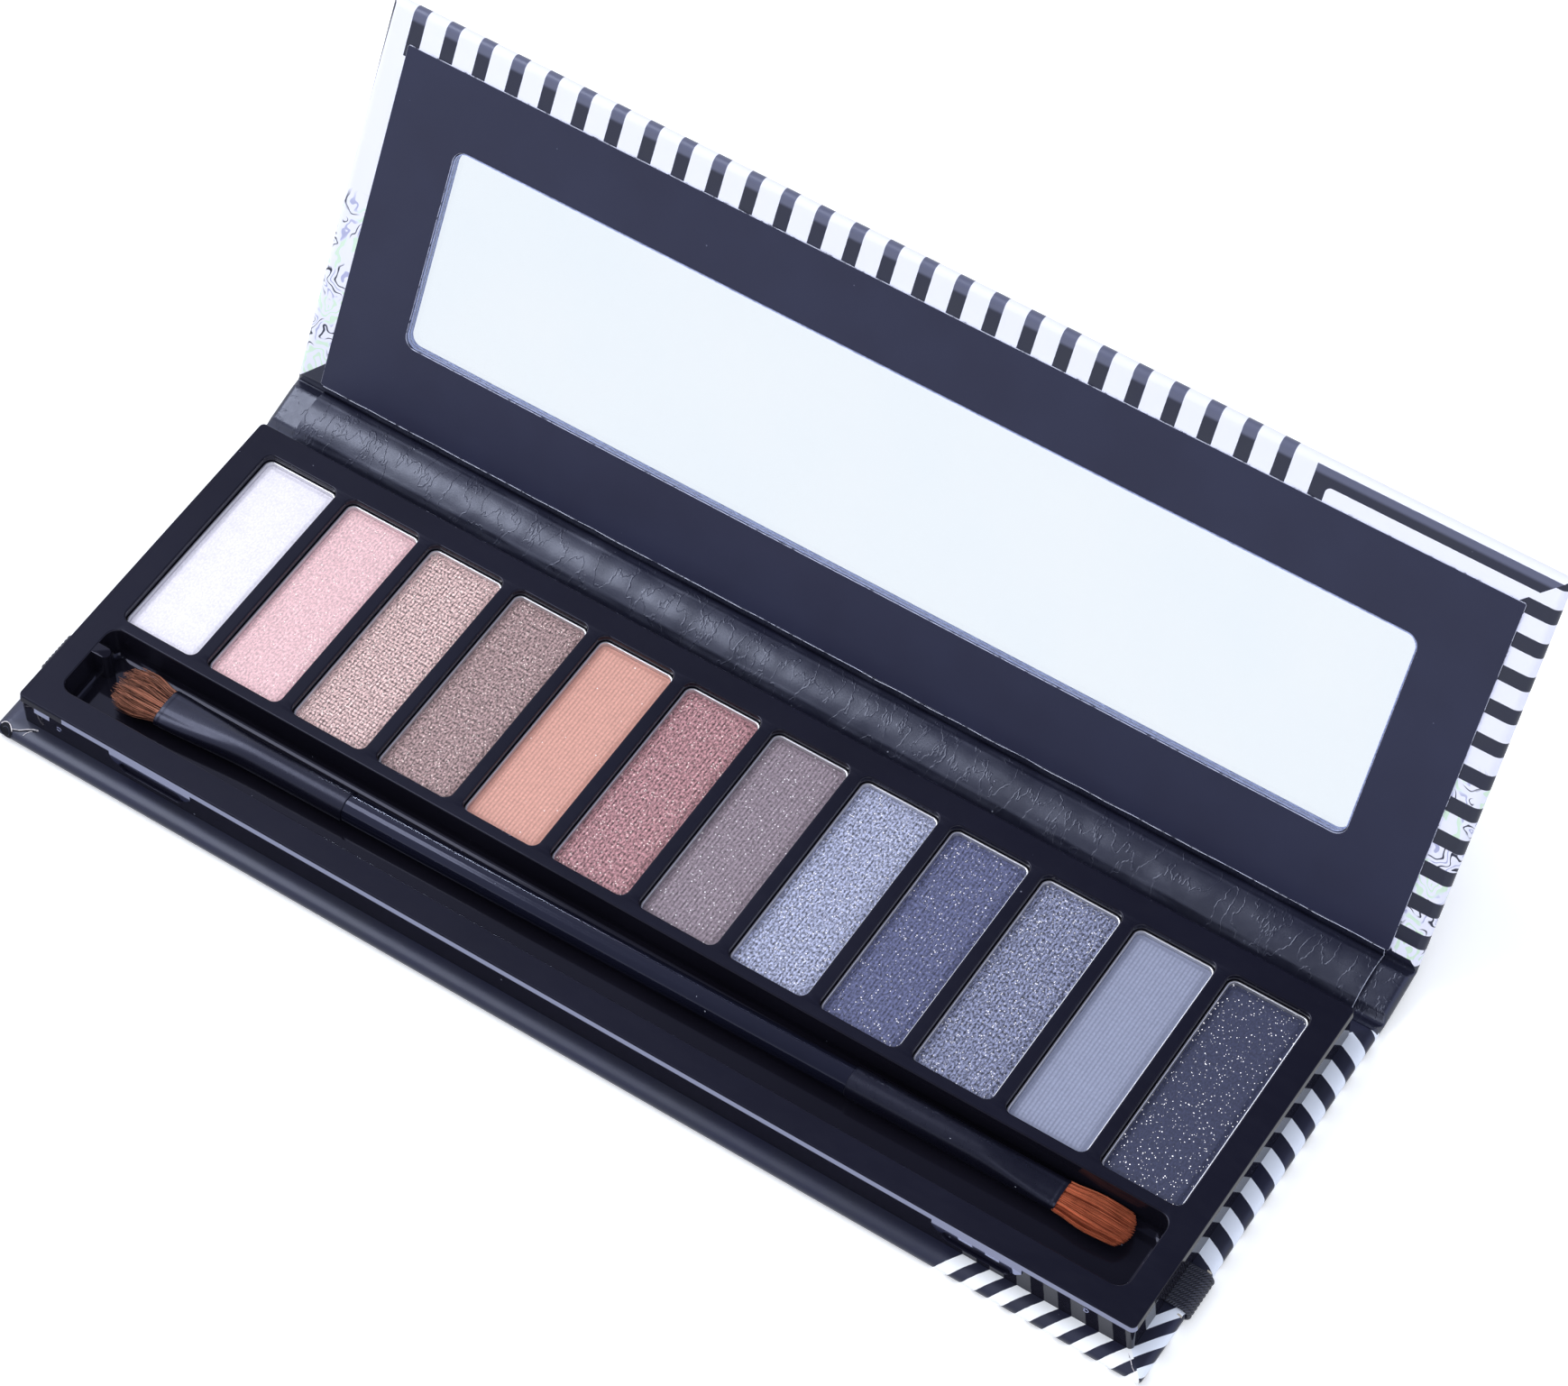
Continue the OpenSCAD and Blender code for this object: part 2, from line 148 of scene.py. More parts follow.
def circle(count: int) -> list[float]:
    """Evenly spaced angles of one whole turn."""
    return spread(0, tau, count + 1)[:-1]


def arc(x: float, y: float, r: float, turns: Sequence[float]) -> list[Flat]:
    """Points round a centre at the given angles."""
    return [(x + r * cos(t), y + r * sin(t)) for t in turns]


@dataclass(frozen=True)
class Outline:
    """A rectangle with round corners."""

    x0: float
    x1: float
    y0: float
    y1: float
    r: float

    def points(self, grow: float = 0.0, steps: int = 7) -> list[Flat]:
        """Points round the outline, anticlockwise.

        Args:
            grow: How far outside the outline the points lie.
            steps: Segments in each corner.

        Returns:
            The points, starting at the lower right corner.
        """
        r = max(self.r + grow, 0.02)
        x0, x1, y0, y1 = self.x0 - grow + r, self.x1 + grow - r, self.y0 - grow + r, self.y1 + grow - r
        found = []
        for cx, cy, start in ((x1, y0, -90), (x1, y1, 0), (x0, y1, 90), (x0, y0, 180)):
            found += arc(cx, cy, r, [radians(a) for a in spread(start, start + 90, steps + 1)])
        return found


MIRROR_WINDOW = Outline(-81.45, 81.45, 14.55, 47.95, 2.0)
BAND_NEAR, BAND_FAR = 8.6, 16.4
BAND_POCKETS = (Outline(78, 93.9, BAND_NEAR, BAND_FAR, 0.3), Outline(-93.9, -78, BAND_NEAR, BAND_FAR, 0.3))


def away(outline: Outline, inner: float = 3.0, lift: float = 0.0, sign: float = 1.0) -> Aim:
    """A direction out of an outline's sides.

    Args:
        outline: The outline.
        inner: How far inside it the direction starts.
        lift: Upward share that is added.
        sign: 1 to point outwards and -1 to point inwards.

    Returns:
        A function from a place to the direction there.
    """

    def aim(place: Vector) -> Vector:
        """The direction at that place."""
        x = min(max(place.x, outline.x0 + inner), outline.x1 - inner)
        y = min(max(place.y, outline.y0 + inner), outline.y1 - inner)
        return Vector(((place.x - x) * sign, (place.y - y) * sign, lift))

    return aim


def toward(x: float, y: float, z: float) -> Aim:
    """The same direction everywhere."""
    return lambda _place: Vector((x, y, z))


def round_over(r: float) -> list[Flat]:
    """(step out, drop) pairs of a quarter-round edge that starts on the flat."""
    return [(-r + r * sin(a), -r + r * cos(a)) for a in spread(0, pi / 2, 5)]


class Skin:
    """Points, faces and sheet coordinates of one piece, before they become a mesh."""

    def __init__(self) -> None:
        """Starts an empty skin."""
        self.points: list[Point] = []
        self.sheet: list[Flat] = []
        self.press: list[float] = []
        self.faces: list[Sequence[int]] = []
        self.finish: list[int] = []
        self.aim: Aim | None = None

    def add(self, points: Sequence[Point], sheet: Sequence[Flat] | None = None, press: float = 0.0) -> list[int]:
        """Adds points.

        Args:
            points: Places in the piece's own frame.
            sheet: Where each point lies on the flat sheet; the first two coordinates if left out.
            press: How strongly a pressed pattern shows there, from 0 to 1.

        Returns:
            The points' numbers.
        """
        start = len(self.points)
        self.points.extend(points)
        self.sheet.extend(sheet if sheet is not None else [(p[0], p[1]) for p in points])
        self.press.extend([press] * len(points))
        return list(range(start, len(self.points)))

    def face(self, corners: Sequence[int], finish: int = 0) -> None:
        """Adds one face, turned the way that aim says if it is set."""
        corners = tuple(corners)
        if self.aim:
            ring = [Vector(self.points[k]) for k in corners]
            normal = sum((a.cross(b) for a, b in zip(ring, ring[1:] + ring[:1])), Vector())
            if normal.dot(self.aim(sum(ring, Vector()) / len(ring))) < 0:
                corners = corners[::-1]
        self.faces.append(corners)
        self.finish.append(finish)

    def band(self, first: Sequence[int], second: Sequence[int], finish: int = 0, closed: bool = True) -> None:
        """Joins two equally long rows of points with quads."""
        count = len(first)
        for k in range(count if closed else count - 1):
            j = (k + 1) % count
            self.face((first[k], first[j], second[j], second[k]), finish)

    def stack(self, loops: Sequence[Sequence[int]], finish: int = 0, closed: bool = True) -> None:
        """Joins each row of points to the next one with quads."""
        for first, second in zip(loops, loops[1:]):
            self.band(first, second, finish, closed)

    def grid(
        self,
        rows: Rows,
        sheet: FlatRows | None = None,
        finish: int = 0,
        closed: bool = False,
    ) -> list[list[int]]:
        """Adds a surface of rows of points.

        Args:
            rows: Rows of the same length.
            sheet: Sheet coordinates in the same layout.
            finish: Number of the finish its faces take.
            closed: Whether each row runs round into itself.

        Returns:
            The numbers of the points, row by row.
        """
        numbers = [self.add(row, sheet[k] if sheet else None) for k, row in enumerate(rows)]
        self.stack(numbers, finish, closed)
        return numbers

    def slab(
        self,
        rows: Rows,
        sheet: FlatRows,
        thick: float,
        finish: int = 0,
        edge: int = 0,
    ) -> None:
        """Adds a thin solid sheet whose outer face is the given grid.

        Args:
            rows: Rows of points of the outer face.
            sheet: Sheet coordinates in the same layout.
            thick: Thickness, laid on the side away from the grid's normal.
            finish: Number of the faces' finish.
            edge: Number of the cut edges' finish.
        """
        grid = np.array(rows, float)
        across, along = np.gradient(grid, axis=0), np.gradient(grid, axis=1)
        normal = np.cross(along, across)
        normal /= np.linalg.norm(normal, axis=2, keepdims=True) + 1e-12
        under = grid - normal * thick
        top = self.grid([[tuple(p) for p in row] for row in grid], sheet, finish)
        low = self.grid([[tuple(p) for p in row] for row in under], sheet, finish)
        borders = (
            (top[0], low[0]),
            (top[-1], low[-1]),
            ([r[0] for r in top], [r[0] for r in low]),
            ([r[-1] for r in top], [r[-1] for r in low]),
        )
        for a, b in borders:
            self.band(a, b, edge, closed=False)

    def tube(self, path: Sequence[Point], radius: float, finish: int = 0) -> None:
        """Adds a thin round cord along a path, closed at both ends."""
        rows = []
        for k, point in enumerate(path):
            along = Vector(path[min(k + 1, len(path) - 1)]) - Vector(path[max(k - 1, 0)])
            side = along.cross(Vector((0, 0, 1))).normalized()
            up = side.cross(along).normalized()
            turns = circle(6)
            rows.append([tuple(Vector(point) + radius * (side * cos(t) + up * sin(t))) for t in turns])
        loops = self.grid(rows, finish=finish, closed=True)
        self.face(loops[0], finish)
        self.face(loops[-1], finish)

    def sweep(
        self, outline: Outline, steps: Sequence[Flat], finish: int = 0, press: Sequence[float] | None = None
    ) -> list[list[int]]:
        """Carries an outline through (grow, height) steps.

        Args:
            outline: The outline that is carried.
            steps: How far outside the outline, and how high, each loop lies.
            finish: Number of the faces' finish.
            press: Strength of the pressed pattern at each loop.

        Returns:
            The loops' point numbers.
        """
        loops = []
        for k, (grow, height) in enumerate(steps):
            ring = [(x, y, height) for x, y in outline.points(grow)]
            loops.append(self.add(ring, press=press[k] if press else 0.0))
        self.stack(loops, finish)
        return loops

    def fill(self, *loops: Sequence[int], finish: int = 0, axes: tuple[int, int] = (0, 1)) -> None:
        """Fills a flat outline, with any further loops as holes.

        Args:
            loops: Point numbers of the outline and then of the holes.
            finish: Number of the faces' finish.
            axes: The two coordinates that the flat face spreads along.
        """
        order = [k for loop in loops for k in loop]
        flat = [[Vector((self.points[k][axes[0]], self.points[k][axes[1]], 0.0)) for k in loop] for loop in loops]
        for corners in tessellate_polygon(flat):
            self.face([order[k] for k in corners], finish)

    def make(self, name: str, board: Board, finishes: Finishes, sharp: float = 38.0, weighted: bool = True) -> Piece:
        """Makes the object.

        Args:
            name: The piece's name.
            board: The frame its points are in.
            finishes: The finishes that the faces' numbers stand for.
            sharp: Edges that turn more than this many degrees shade as creases.
            weighted: Whether large faces keep their own normal beside rounded edges.

        Returns:
            The new object, in place in the row frame.
        """
        mesh = bpy.data.meshes.new(name)
        mesh.from_pydata(self.points, [], self.faces)
        layer = mesh.uv_layers.new(name="sheet")
        corners = np.zeros(len(mesh.loops), np.int32)
        mesh.loops.foreach_get("vertex_index", corners)
        layer.data.foreach_set("uv", np.array(self.sheet, np.float32)[corners].ravel())
        strength = mesh.attributes.new("press", "FLOAT", "POINT")
        strength.data.foreach_set("value", np.array(self.press, np.float32))
        mesh.polygons.foreach_set("material_index", np.array(self.finish, np.int32))
        work = bmesh.new()
        work.from_mesh(mesh)
        bmesh.ops.remove_doubles(work, verts=work.verts, dist=WELD)
        bmesh.ops.dissolve_degenerate(work, edges=work.edges, dist=SLIVER)
        if self.aim is None:
            bmesh.ops.recalc_face_normals(work, faces=work.faces)
        work.to_mesh(mesh)
        work.free()
        mesh.transform(board.matrix())
        mesh.shade_smooth()
        mesh.set_sharp_from_angle(angle=radians(sharp))
        for finish in finishes:
            mesh.materials.append(finish.material())
        piece = bpy.data.objects.new(name, mesh)
        bpy.context.scene.collection.objects.link(piece)
        if weighted:
            even = piece.modifiers.new("even_shading", "WEIGHTED_NORMAL")
            even.keep_sharp = True
        return piece


def settle(piece: Piece, body: str, slot: str, *nodes: str) -> Piece:
    """Puts a piece on its body and hides the CAD nodes that it stands for.

    Args:
        piece: The finished piece.
        body: The CAD body that it rides on.
        slot: Not used.
        nodes: The CAD nodes that it replaces.

    Returns:
        The same piece.
    """
    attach(piece, body)
    if nodes:
        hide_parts(*nodes)
    LOG.info("%s rides on %s (%d faces)", piece.name, body, len(piece.data.polygons) if piece.type == "MESH" else 0)
    return piece


# ---- Nodes ----


def rgb(red: float, green: float, blue: float) -> Colour:
    """A colour from its 0 to 255 screen values."""
    parts = [c / 255 / 12.92 if c / 255 <= 0.04045 else ((c / 255 + 0.055) / 1.055) ** 2.4 for c in (red, green, blue)]
    return (parts[0], parts[1], parts[2], 1.0)


def tinted(colour: Colour, factor: float) -> Colour:
    """A colour made lighter or darker by a factor."""
    red, green, blue = (c * factor for c in colour[:3])
    return (red, green, blue, 1.0)


OPTIONS = {
    "tint": "Specular Tint",
    "level": "Specular IOR Level",
    "ior": "IOR",
    "metal": "Metallic",
    "clear": "Transmission Weight",
    "glow": "Emission Color",
    "spark": "Emission Strength",
}


class Graph:
    """Short calls that add and link the nodes of one material or node group."""

    def __init__(self, tree: bpy.types.NodeTree) -> None:
        """Works on that tree."""
        self.tree = tree

    def put(self, socket: Socket, value: Value) -> None:
        """Links a socket to the input, or sets the input's own value."""
        if isinstance(value, bpy.types.NodeSocket):
            self.tree.links.new(value, socket)
        else:
            socket.default_value = value

    def add(self, kind: str, inputs: dict[str | int, Value] | None = None, **settings: object) -> bpy.types.Node:
        """Adds a node.

        Args:
            kind: Blender's name of the node type.
            inputs: Values or sockets by the input's name or number.
            settings: The node's own options.

        Returns:
            The node.
        """
        node = self.tree.nodes.new(kind)
        for key, value in settings.items():
            setattr(node, key, value)
        for key, value in (inputs or {}).items():
            self.put(node.inputs[key], value)
        return node

    def math(self, operation: str, *values: Value) -> Socket:
        """One arithmetic step."""
        return self.add("ShaderNodeMath", dict(enumerate(values)), operation=operation).outputs[0]

    def times(self, first: Value, second: Value) -> Socket:
        """A product."""
        return self.math("MULTIPLY", first, second)

    def plus(self, first: Value, second: Value) -> Socket:
        """A sum."""
        return self.math("ADD", first, second)

    def minus(self, first: Value, second: Value) -> Socket:
        """A difference."""
        return self.math("SUBTRACT", first, second)

    def below(self, value: Value, limit: Value) -> Socket:
        """1 where the value is less than the limit."""
        return self.math("LESS_THAN", value, limit)

    def above(self, value: Value, limit: Value) -> Socket:
        """1 where the value is more than the limit."""
        return self.math("GREATER_THAN", value, limit)

    def size(self, value: Value) -> Socket:
        """A value without its sign."""
        return self.math("ABSOLUTE", value)

    def sine(self, turn: Value) -> Socket:
        """The sine of an angle in radians."""
        return self.math("SINE", turn)

    def chain(self, start: Value, *steps: tuple[str, Value]) -> Socket:
        """Arithmetic steps that each take the last result first."""
        for operation, value in steps:
            start = self.math(operation, start, value)
        return start

    def scaled(self, vector: Value, factors: Sequence[float]) -> Socket:
        """A vector times three factors."""
        return self.add("ShaderNodeVectorMath", {0: vector, 1: factors}, operation="MULTIPLY").outputs[0]

    def moved(self, vector: Value, offset: Value) -> Socket:
        """A vector plus an offset."""
        return self.add("ShaderNodeVectorMath", {0: vector, 1: offset}, operation="ADD").outputs[0]

    def grown(self, vector: Value, factor: Value) -> Socket:
        """A vector times one number."""
        return self.add("ShaderNodeVectorMath", {0: vector, 3: factor}, operation="SCALE").outputs[0]

    def in_cells(self, vector: Value, cell: Value) -> Socket:
        """A vector counted in cells of that size."""
        return self.grown(vector, self.math("DIVIDE", 1.0, cell))

    def pressed(self) -> Socket:
        """The strength of the pressed pattern, or a hair's own tone."""
        return self.add("ShaderNodeAttribute", attribute_name="press").outputs["Fac"]

    def colour(self, factor: Value, first: Value, second: Value) -> Socket:
        """Mixes two colours."""
        return self.add("ShaderNodeMix", {0: factor, 6: first, 7: second}, data_type="RGBA").outputs[2]

    def between(self, factor: Value, first: Value, second: Value) -> Socket:
        """Mixes two numbers."""
        return self.add("ShaderNodeMix", {0: factor, 2: first, 3: second}, data_type="FLOAT").outputs[0]

    def span(self, value: Value, low: float, high: float, out_low: float = 0.0, out_high: float = 1.0) -> Socket:
        """Maps low..high smoothly to out_low..out_high."""
        inputs = {0: value, 1: low, 2: high, 3: out_low, 4: out_high}
        return self.add("ShaderNodeMapRange", inputs, interpolation_type="SMOOTHSTEP").outputs[0]

    def cloud(self, vector: Value, size: float, detail: float = 2.0, rough: float = 0.5) -> Socket:
        """Noise from 0 to 1 with features of that size in mm."""
        inputs = {"Vector": vector, "Scale": 1 / size, "Detail": detail, "Roughness": rough}
        return self.add("ShaderNodeTexNoise", inputs).outputs["Fac"]

    def sheet(self) -> Socket:
        """The flat coordinates of a piece, in mm."""
        return self.add("ShaderNodeUVMap", uv_map="sheet").outputs[0]

    def place(self) -> Socket:
        """The place on the piece, in mm."""
        return self.scaled(self.add("ShaderNodeTexCoord").outputs["Object"], (1 / MM, 1 / MM, 1 / MM))

    def split(self, vector: Value) -> tuple[Socket, Socket]:
        """The first two coordinates of a vector."""
        node = self.add("ShaderNodeSeparateXYZ", {0: vector})
        return node.outputs[0], node.outputs[1]

    def bump(self, height: Value, depth: float) -> Socket:
        """A normal from a height, whose 1 stands depth mm high."""
        return self.add("ShaderNodeBump", {"Height": height, "Distance": depth * MM, "Strength": 1.0}).outputs[0]

    def effect(self, effect: "Effect", inputs: dict[str, Value]) -> Sockets:
        """Places a shared node group and gives back its outputs by name."""
        node = self.add("ShaderNodeGroup", node_tree=effect.tree())
        for key, value in inputs.items():
            self.put(node.inputs[key], value)
        return {s.name: s for s in node.outputs}

    def dusted(self, tone: Value, vector: Value, share: float, strength: float, pale: Colour) -> Socket:
        """A colour with sparse specks of a paler one, in a share of the cells."""
        dust = self.effect(Specks(), {"Vector": vector, "Share": share})["Dust"]
        return self.colour(self.times(dust, strength), tone, pale)

    def finish(self, tone: Value, rough: Value, height: Value, depth: float, **more: Value) -> None:
        """Ends the material in a Principled shader.

        Args:
            tone: Its base colour.
            rough: Its roughness.
            height: Its relief, whose 1 stands depth mm high.
            depth: The relief's height in mm.
            more: Further inputs, by their short names.
        """
        inputs = {"Base Color": tone, "Roughness": rough, "Normal": self.bump(height, depth)}
        inputs.update({OPTIONS[key]: value for key, value in more.items()})
        shader = self.add("ShaderNodeBsdfPrincipled", inputs)
        self.add("ShaderNodeOutputMaterial", {0: shader.outputs[0]})


class Effect:
    """A shared node group, built the first time it is placed."""

    name = "effect"
    takes: tuple[tuple[str, str], ...] = ()
    gives: tuple[tuple[str, str], ...] = ()
    kinds = {"vector": "NodeSocketVector", "number": "NodeSocketFloat"}

    def tree(self) -> bpy.types.NodeTree:
        """The group's node tree, made once."""
        found = bpy.data.node_groups.get(self.name)
        if found is not None:
            return found
        tree = bpy.data.node_groups.new(self.name, "ShaderNodeTree")
        for label, kind in self.takes:
            tree.interface.new_socket(name=label, in_out="INPUT", socket_type=self.kinds[kind])
        for label, kind in self.gives:
            tree.interface.new_socket(name=label, in_out="OUTPUT", socket_type=self.kinds[kind])
        graph = Graph(tree)
        entry = graph.add("NodeGroupInput")
        ends = self.wire(graph, {s.name: s for s in entry.outputs if s.name})
        leave = graph.add("NodeGroupOutput")
        for label, socket in ends.items():
            graph.put(leave.inputs[label], socket)
        return tree

    def wire(self, graph: Graph, given: Sockets) -> Sockets:
        """Builds the group's inside.

        Args:
            graph: The group's graph.
            given: The group's inputs by name.

        Returns:
            The sockets that feed the group's outputs, by name.
        """
        raise NotImplementedError


class StripeInk(Effect):
    """Printed stripes with slightly soft edges."""

    name = "stripe_ink"
    takes = (("Coordinate", "number"), ("Start", "number"), ("Pitch", "number"), ("Width", "number"))
    gives = (("Ink", "number"),)

    def wire(self, graph: Graph, given: Sockets) -> Sockets:
        """Ink is 1 from Start to Start plus Width, again at every Pitch."""
        turn = graph.math("DIVIDE", graph.minus(given["Coordinate"], given["Start"]), given["Pitch"])
        into = graph.times(graph.math("FRACT", turn), given["Pitch"])
        left = graph.minus(given["Width"], into)
        edge = graph.chain(graph.math("MINIMUM", into, left), ("DIVIDE", 0.06), ("ADD", 0.5))
        return {"Ink": graph.chain(edge, ("MINIMUM", 1.0), ("MAXIMUM", 0.0))}


class SwirlArt(Effect):
    """Free curls of thin line with pale leaves between them."""

    name = "swirl_art"
    takes = (("Vector", "vector"), ("Size", "number"))
    gives = (("Line", "number"), ("Leaf", "number"), ("Wash", "number"))

    def wire(self, graph: Graph, given: Sockets) -> Sockets:
        """Curls are level lines of a warped cell pattern."""
        vector = graph.in_cells(given["Vector"], given["Size"])
        warp = graph.add("ShaderNodeTexNoise", {"Vector": vector, "Scale": 1.1, "Detail": 1.0}).outputs["Color"]
        bent = graph.moved(vector, graph.scaled(warp, (1.5, 1.5, 0.0)))
        cells = graph.add("ShaderNodeTexVoronoi", {"Vector": bent, "Scale": 0.8}, feature="SMOOTH_F1")
        ring = graph.chain(
            cells.outputs["Distance"], ("MULTIPLY", 4.6), ("FRACT", 0.0), ("SUBTRACT", 0.5), ("ABSOLUTE", 0.0)
        )
        where = graph.add("ShaderNodeTexNoise", {"Vector": vector, "Scale": 0.7, "Detail": 0.0}).outputs["Fac"]
        line = graph.times(graph.span(ring, 0.085, 0.045), graph.span(where, 0.46, 0.54))
        leaf = graph.times(graph.span(ring, 0.30, 0.36), graph.span(where, 0.55, 0.47))
        wash = graph.times(graph.span(ring, 0.40, 0.44), graph.span(where, 0.50, 0.58))
        return {"Line": line, "Leaf": leaf, "Wash": wash}


class PressWeave(Effect):
    """The cloth print of a powder press: crossing threads, each cell crowned."""

    name = "press_weave"
    takes = (("Vector", "vector"), ("Cell", "number"))
    gives = (("Height", "number"),)

    def wire(self, graph: Graph, given: Sockets) -> Sockets:
        """Threads pass over and under in turn, and wander a little."""
        drift = graph.add(
            "ShaderNodeTexNoise", {"Vector": given["Vector"], "Scale": 0.9, "Detail": 2.0}
        ).outputs["Color"]
        vector = graph.moved(given["Vector"], graph.scaled(drift, (0.35, 0.35, 0.0)))
        x, y = graph.split(vector)
        waves = [graph.sine(graph.chain(c, ("DIVIDE", given["Cell"]), ("MULTIPLY", pi))) for c in (x, y)]
        over = graph.above(graph.times(waves[0], waves[1]), 0.0)
        crowns = [graph.size(w) for w in waves]
        slim = [graph.math("POWER", c, 0.35) for c in crowns]
        warp = graph.times(crowns[0], slim[1])
        weft = graph.times(crowns[1], slim[0])
        return {"Height": graph.between(over, warp, weft)}


class PressRibs(Effect):
    """Fine straight ribs of a powder press, along Y."""

    name = "press_ribs"
    takes = (("Vector", "vector"), ("Cell", "number"))
    gives = (("Height", "number"),)

    def wire(self, graph: Graph, given: Sockets) -> Sockets:
        """Ribs run along Y, with faint breaks across them."""
        x, y = graph.split(given["Vector"])
        rib = graph.size(graph.sine(graph.chain(x, ("DIVIDE", given["Cell"]), ("MULTIPLY", pi))))
        tick = graph.size(graph.sine(graph.chain(y, ("DIVIDE", given["Cell"]), ("MULTIPLY", pi))))
        return {"Height": graph.times(rib, graph.chain(tick, ("MULTIPLY", 0.25), ("ADD", 0.75)))}


class Glitter(Effect):
    """Scattered flakes, each of its own brightness."""

    name = "glitter"
    takes = (("Vector", "vector"), ("Cell", "number"), ("Share", "number"), ("Size", "number"))
    gives = (("Flake", "number"), ("Tone", "number"))

    def wire(self, graph: Graph, given: Sockets) -> Sockets:
        """A flake fills the middle of a cell, in a share of the cells."""
        vector = graph.in_cells(given["Vector"], given["Cell"])
        cells = graph.add("ShaderNodeTexVoronoi", {"Vector": vector, "Scale": 1.0, "Randomness": 1.0})
        red, green = graph.split(cells.outputs["Color"])
        chosen = graph.below(red, given["Share"])
        size = graph.chain(green, ("MULTIPLY", 0.6), ("ADD", 0.4), ("MULTIPLY", given["Size"]))
        spot = graph.span(graph.math("DIVIDE", cells.outputs["Distance"], size), 0.46, 0.34)
        return {"Flake": graph.times(chosen, spot), "Tone": green}


class Specks(Effect):
    """Sparse dust: tiny pale specks."""

    name = "dust_specks"
    takes = (("Vector", "vector"), ("Share", "number"))
    gives = (("Dust", "number"),)

    def wire(self, graph: Graph, given: Sockets) -> Sockets:
        """A speck sits in a few of the cells, and each has its own size."""
        cells = graph.add("ShaderNodeTexVoronoi", {"Vector": given["Vector"], "Scale": 0.55, "Randomness": 1.0})
        red, green = graph.split(cells.outputs["Color"])
        size = graph.chain(green, ("MULTIPLY", 0.05), ("ADD", 0.025))
        near = graph.below(cells.outputs["Distance"], size)
        return {"Dust": graph.times(near, graph.below(red, given["Share"]))}


class PaperSkin(Effect):
    """The surface of coated paper over board: fibre, and slow waves from the glue."""

    name = "paper_skin"
    takes = (("Vector", "vector"),)
    gives = (("Height", "number"), ("Tone", "number"))

    def wire(self, graph: Graph, given: Sockets) -> Sockets:
        """Fine fibre rides on slow waves."""
        fibre = graph.cloud(given["Vector"], 0.35, 3.0, 0.6)
        wave = graph.cloud(given["Vector"], 6.0, 1.0)
        height = graph.chain(fibre, ("MULTIPLY", 0.12), ("ADD", wave))
        return {"Height": height, "Tone": graph.cloud(given["Vector"], 14.0, 2.0)}


class MouldedSkin(Effect):
    """The surface of moulded plastic: slow flow waves and fine texture."""

    name = "moulded_skin"
    takes = (("Vector", "vector"), ("Grain", "number"))
    gives = (("Height", "number"), ("Tone", "number"))

    def wire(self, graph: Graph, given: Sockets) -> Sockets:
        """Grain scales the fine texture against the flow waves."""
        fine = graph.times(graph.cloud(given["Vector"], 0.16, 2.0), given["Grain"])
        flow = graph.cloud(given["Vector"], 9.0, 1.0)
        return {"Height": graph.plus(fine, flow), "Tone": graph.cloud(given["Vector"], 22.0, 2.0)}


# ---- Finishes ----


@dataclass(frozen=True)
class Finish:
    """A named finish whose material is made once."""

    name: str

    def material(self) -> bpy.types.Material:
        """The finish's material."""
        found = bpy.data.materials.get(self.name)
        if found is not None:
            return found
        made = bpy.data.materials.new(self.name)
        made.use_nodes = True
        made.node_tree.nodes.clear()
        self.paint(Graph(made.node_tree))
        return made

    def paint(self, graph: Graph) -> None:
        """Builds the material's nodes."""
        raise NotImplementedError


BLACK_INK = rgb(27, 28, 48)
COOL_GLOSS = (0.78, 0.83, 1.0, 1.0)
LEAF_INK = rgb(214, 236, 214)
LILAC_INK = rgb(176, 178, 212)


class Layout(Enum):
    """The printed layouts of the wrapping paper."""

    BASE_FRONT = "base_front"
    BASE_SIDE = "base_side"
    LID_TOP = "lid_top"
    LID_RIGHT = "lid_right"
    LID_LEFT = "lid_left"
    LID_HINGE = "lid_hinge"
    LID_BACK = "lid_back"


